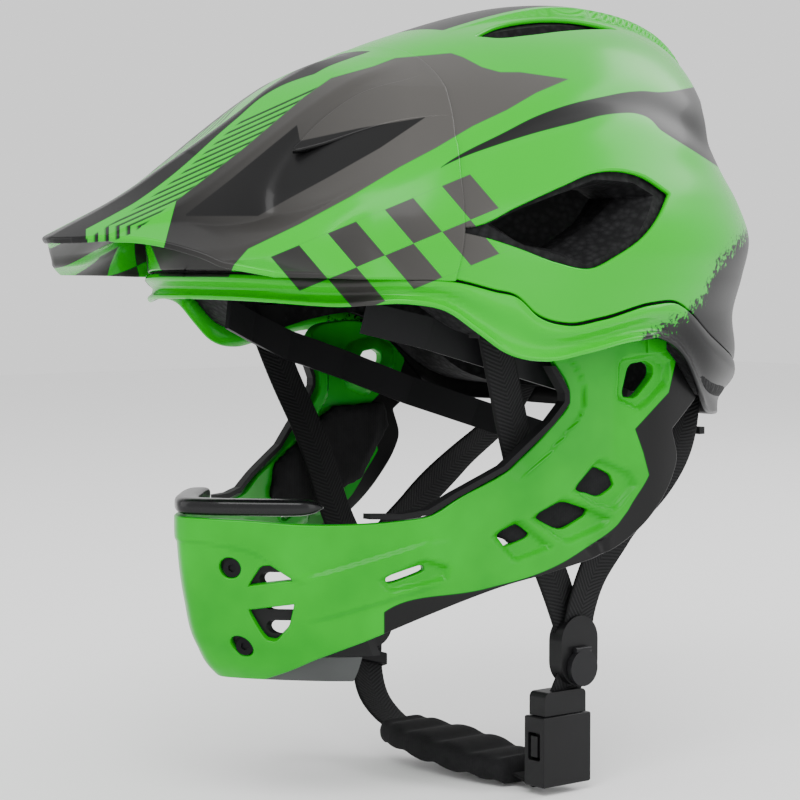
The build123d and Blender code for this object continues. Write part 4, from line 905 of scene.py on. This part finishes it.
def webbing_finish():
    """Black twill: slanted ribs that turn at the strap's middle, and a plain edge."""
    finish = Finish("black_webbing")
    node = finish.tree.nodes.new("ShaderNodeAttribute")
    node.attribute_name = "weave"
    split = finish.tree.nodes.new("ShaderNodeSeparateXYZ")
    finish.tree.links.new(node.outputs["Vector"], split.inputs[0])
    run, side = [Field(finish, output) * 1000 for output in (split.outputs[0], split.outputs[1])]
    ribs = (run * 3.6 + abs(side) * 3.0).wave() * 0.5 + 0.5
    threads = (side * 9.0).wave() * 0.5 + 0.5
    plain = (abs(side) - 6.7).above(0, 0.3)
    height = (ribs * 0.8 + threads * 0.2) * (1 - plain * 0.7)
    # Painted shade: the weave is coloured darker in its grooves and lighter on its ribs
    base = finish.mix(height, (0.002, 0.002, 0.0022), (0.017, 0.017, 0.018))
    return finish.set(Base_Color=base, Roughness=0.72 + height * 0.1,
                      Normal=finish.bump(height, 0.00022, 0.8))


woven = webbing_finish()
for side, name in ((1, "left"), (-1, "right")):
    for end, route in (("front", front_route), ("rear", rear_route)):
        strap = webbing(f"{end}_webbing_{name}", route, side)
        finish_piece(strap, "helmet", [f"{end}_strap_{name}"], woven)
finish_piece(webbing("lower_webbing", lower_route), "helmet", ["lower_strap_left"], woven)
finish_piece(webbing("chin_webbing", chin_route), "helmet", ["chin_strap"], woven)

# Pads
# Brushed fabric over foam: brow, crown and side pads in the head space, a pad inside each arm of the chin
# guard, and the chin pad with its four sewn channels on a sleeve round the webbing.
channel_count, pad_middle, pad_length = 4, 6 * mm, 76 * mm
covers = []


def soft_cover(node, cell, most, holds=None):
    """An even skin round a packed pad, with its edges rounded; held where holds(points) is true."""
    start = bpy.data.objects.new("start", nodes[node].data.copy())
    bpy.context.scene.collection.objects.link(start)
    even = start.modifiers.new("even", "REMESH")
    even.mode, even.voxel_size = "VOXEL", cell
    ease = start.modifiers.new("ease", "SMOOTH")
    ease.factor, ease.iterations = 0.5, 4
    mesh = bpy.data.meshes.new_from_object(start.evaluated_get(bpy.context.evaluated_depsgraph_get()))
    bpy.data.objects.remove(start)
    mesh.name = node + "_cover"
    mesh.shade_smooth()
    piece = bpy.data.objects.new(node + "_cover", mesh)
    points = np.empty(len(mesh.vertices) * 3)
    mesh.vertices.foreach_get("co", points)
    if holds:
        kept = piece.vertex_groups.new(name="held")
        kept.add(np.flatnonzero(holds(points.reshape(-1, 3))).tolist(), 1.0, "REPLACE")
    covers.append((piece, points.reshape(-1, 3), most, bool(holds)))
    return piece


def in_channel(points):
    """Whether a point of the chin pad lies on one of its sewn channels, which are evenly spaced."""
    share = (points[:, 0] - pad_middle) / pad_length
    return np.abs(np.sin(math.pi * channel_count * (share + 0.5))) < 0.22


def blow_up(steps=20):
    """Blows all covers up as cloth, in one run, and keeps how each point moved, up to its own limit."""
    for piece, _, _, held in covers:
        cloth = piece.modifiers.new("cloth", "CLOTH")
        cloth.settings.use_pressure, cloth.settings.uniform_pressure_force = True, 4
        cloth.settings.effector_weights.gravity = 0
        cloth.settings.quality = 5
        cloth.point_cache.frame_end = steps
        if held:
            cloth.settings.vertex_group_mass = "held"
    for frame_number in range(1, steps + 1):
        bpy.context.scene.frame_set(frame_number)
    graph = bpy.context.evaluated_depsgraph_get()
    for piece, points, most, _ in covers:
        moved = np.empty(points.size)
        piece.evaluated_get(graph).data.vertices.foreach_get("co", moved)
        shift = moved.reshape(-1, 3) - points
        length = np.linalg.norm(shift, axis=1, keepdims=True)
        points += shift * np.minimum(1, most / np.maximum(length, 1e-9))
    for piece, points, _, _ in covers:
        piece.modifiers.clear()
        piece.data.vertices.foreach_set("co", points.ravel())
        piece.data.update()
    bpy.context.scene.frame_set(1)


def brushed_fabric():
    """Dark brushed cloth with a knitted grain and a soft uneven nap."""
    finish = Finish("pad_cloth")
    x, y, z = finish.axes()
    knit = (x * 5.2 + z * 2.1).wave() * (y * 5.2 - z * 2.1).wave() * 0.5 + 0.5
    nap = finish.noise(210, 4, 0.7)
    base = finish.mix(nap, (0.003, 0.003, 0.0033), (0.014, 0.014, 0.015))
    return finish.set(Base_Color=base, Roughness=0.86 + knit * 0.08,
                      Normal=finish.bump(knit * 0.5 + nap * 0.5, 0.00018, 0.7))


pad_cloth = brushed_fabric()
# Each pad's cell size and the most that a point moves, in millimetres
pad_list = [("brow_pad", 2.6, 1.4, "helmet"), ("crown_pad", 2.6, 1.4, "helmet"),
            ("side_pad_left", 2.6, 1.4, "helmet"), ("side_pad_right", 2.6, 1.4, "helmet"),
            ("cheek_pad_left", 1.6, 0.6, "guard"),
            ("cheek_pad_right", 1.6, 0.6, "guard"), ("chin_pad", 1.5, 2.0, "helmet")]
for node, cell, most, body in pad_list:
    holds = in_channel if node == "chin_pad" else None
    piece = soft_cover(node, cell * mm, most * mm, holds)
    finish_piece(piece, body, [node], pad_cloth)
blow_up()
for piece, _, _, _ in covers:
    smooth = piece.modifiers.new("smooth", "SUBSURF")
    smooth.levels = smooth.render_levels = 1

# Foam liner
# The black bead foam under the skins. It shows in the vents, along the lower edge and inside, where the
# pressed beads leave a fine pattern of cells.


def dress(material, bevel, *names):
    """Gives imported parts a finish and, where bevel isn't zero, rounds their sharp edges."""
    for name in names:
        part = nodes[name]
        for holder in part.material_slots:
            holder.material = material
        if bevel:
            join = part.modifiers.new("join", "WELD")
            join.merge_threshold = 1e-6
            soften = part.modifiers.new("soften", "BEVEL")
            soften.width, soften.segments = bevel, 2
            soften.limit_method, soften.angle_limit = "ANGLE", math.radians(40)
            shade = part.modifiers.new("shade", "WEIGHTED_NORMAL")
            shade.mode = "FACE_AREA_WITH_ANGLE"


def bead_foam():
    """Expanded foam: pressed beads of about 3 mm with darker joints."""
    finish = Finish("bead_foam")
    beads = finish.add("ShaderNodeTexVoronoi", {}, Vector=finish.place, Scale=330.0)
    joints = (beads * 1.5).least(1)
    fine = finish.noise(900, 2)
    base = finish.mix(joints, (0.014, 0.014, 0.015), (0.004, 0.004, 0.0045))
    return finish.set(Base_Color=base, Roughness=0.62 + fine * 0.2,
                      Normal=finish.bump(1 - joints * 0.8 + fine * 0.2, 0.0004, 0.8))


dress(bead_foam(), 0, "eps_liner")

# Fittings
# Moulded acetal: dividers with their cams, the side release buckle, the keeper's loop, the sockets of the
# chin guard, the visor's pegs, the webbing's plugs, the grille and the grey tray under the chin.
acetal = moulded("black_acetal", (0.006, 0.006, 0.0065), 0.40, coat=0.05)
cam_black = moulded("cam_black", (0.010, 0.010, 0.011), 0.34)
tray_grey = moulded("tray_grey", (0.055, 0.058, 0.058), 0.42)
trim_rubber = moulded("trim_rubber", (0.005, 0.005, 0.0055), 0.52)
screw_steel = moulded("screw_steel", (0.012, 0.012, 0.013), 0.34, metallic=0.9)
latch_green = moulded("latch_green", (0.0, 0.30, 0.005), 0.36)
dress(acetal, 0.6 * mm, "strap_divider_left", "strap_divider_right", "buckle_plug", "buckle_socket",
      "buckle_arm_front", "buckle_arm_rear")
dress(acetal, 0, "vent_grille", "catch_left", "catch_right", "strap_anchors", "visor_pegs")
dress(cam_black, 0.5 * mm, "divider_cam_left", "divider_cam_right")
dress(tray_grey, 0, "chin_tray")
dress(trim_rubber, 0, "edge_trim")
dress(trim_rubber, 0.4 * mm, "strap_keeper")
dress(screw_steel, 0, "chin_screws")
dress(latch_green, 0.4 * mm, "latch_button_left", "latch_button_right")

# Dial fit
# The band round the head, the cradle at the nape and the housing with its knob; the racks and the pinion
# run inside it.
band_black = moulded("band_black", (0.008, 0.008, 0.009), 0.45)
dress(band_black, 0, "fit_band_left", "fit_band_right", "nape_cradle", "band_rack_left", "band_rack_right",
      "dial_pinion")
dress(acetal, 0.8 * mm, "dial_housing")
dress(cam_black, 0.4 * mm, "dial_knob")

# Floor, light and camera
# A pale floor under a soft studio light, seen from where the picture was taken.
floor_mesh = bpy.data.meshes.new("floor")
floor_half, floor_z = 3, float(cad_low[2]) - 0.001
floor_mesh.from_pydata([(-floor_half, -floor_half, floor_z), (floor_half, -floor_half, floor_z),
                        (floor_half, floor_half, floor_z), (-floor_half, floor_half, floor_z)],
                       [], [(0, 1, 2, 3)])
floor = bpy.data.objects.new("floor", floor_mesh)
bpy.context.scene.collection.objects.link(floor)
floor_finish = Finish("floor_white")
floor_finish.set(Base_Color=(0.92, 0.92, 0.92), Roughness=0.7)
floor_mesh.materials.append(floor_finish.material)


def soft_light(name, place, size, power, aim=(0, 0, -0.02)):
    """A large soft lamp at a place, turned to the helmet."""
    lamp = bpy.data.lights.new(name, "AREA")
    lamp.shape, lamp.size, lamp.size_y, lamp.energy = "RECTANGLE", size[0], size[1], power
    holder = bpy.data.objects.new(name, lamp)
    holder.location = place
    turn = (np.array(aim) - np.array(place))
    holder.rotation_euler = Vector(turn).to_track_quat("-Z", "Y").to_euler()
    bpy.context.scene.collection.objects.link(holder)


soft_light("key", (0.9, -1.0, 1.3), (1.2, 0.9), 27)
soft_light("front", (-0.6, -1.4, 0.35), (1.0, 1.2), 8)
soft_light("side", (1.6, 0.3, 0.3), (0.8, 1.4), 9)
soft_light("rear", (0.2, 1.5, 1.0), (1.4, 0.8), 14)
world = bpy.data.worlds.new("studio")
world.use_nodes = True
world.node_tree.nodes["Background"].inputs["Color"].default_value = (1, 1, 1, 1)
world.node_tree.nodes["Background"].inputs["Strength"].default_value = 1.15
bpy.context.scene.world = world
lens = bpy.data.cameras.new("camera")
lens.lens = 36 * picture_lens / 800
lens.clip_start, lens.clip_end = 0.01, 20
camera = bpy.data.objects.new("camera", lens)
bpy.context.scene.collection.objects.link(camera)
camera.matrix_world = Matrix([
    [picture_right[0], picture_up[0], -picture_forward[0], picture_eye[0] * mm],
    [picture_right[1], picture_up[1], -picture_forward[1], picture_eye[1] * mm],
    [picture_right[2], picture_up[2], -picture_forward[2], picture_eye[2] * mm],
    [0, 0, 0, 1]])
bpy.context.scene.camera = camera
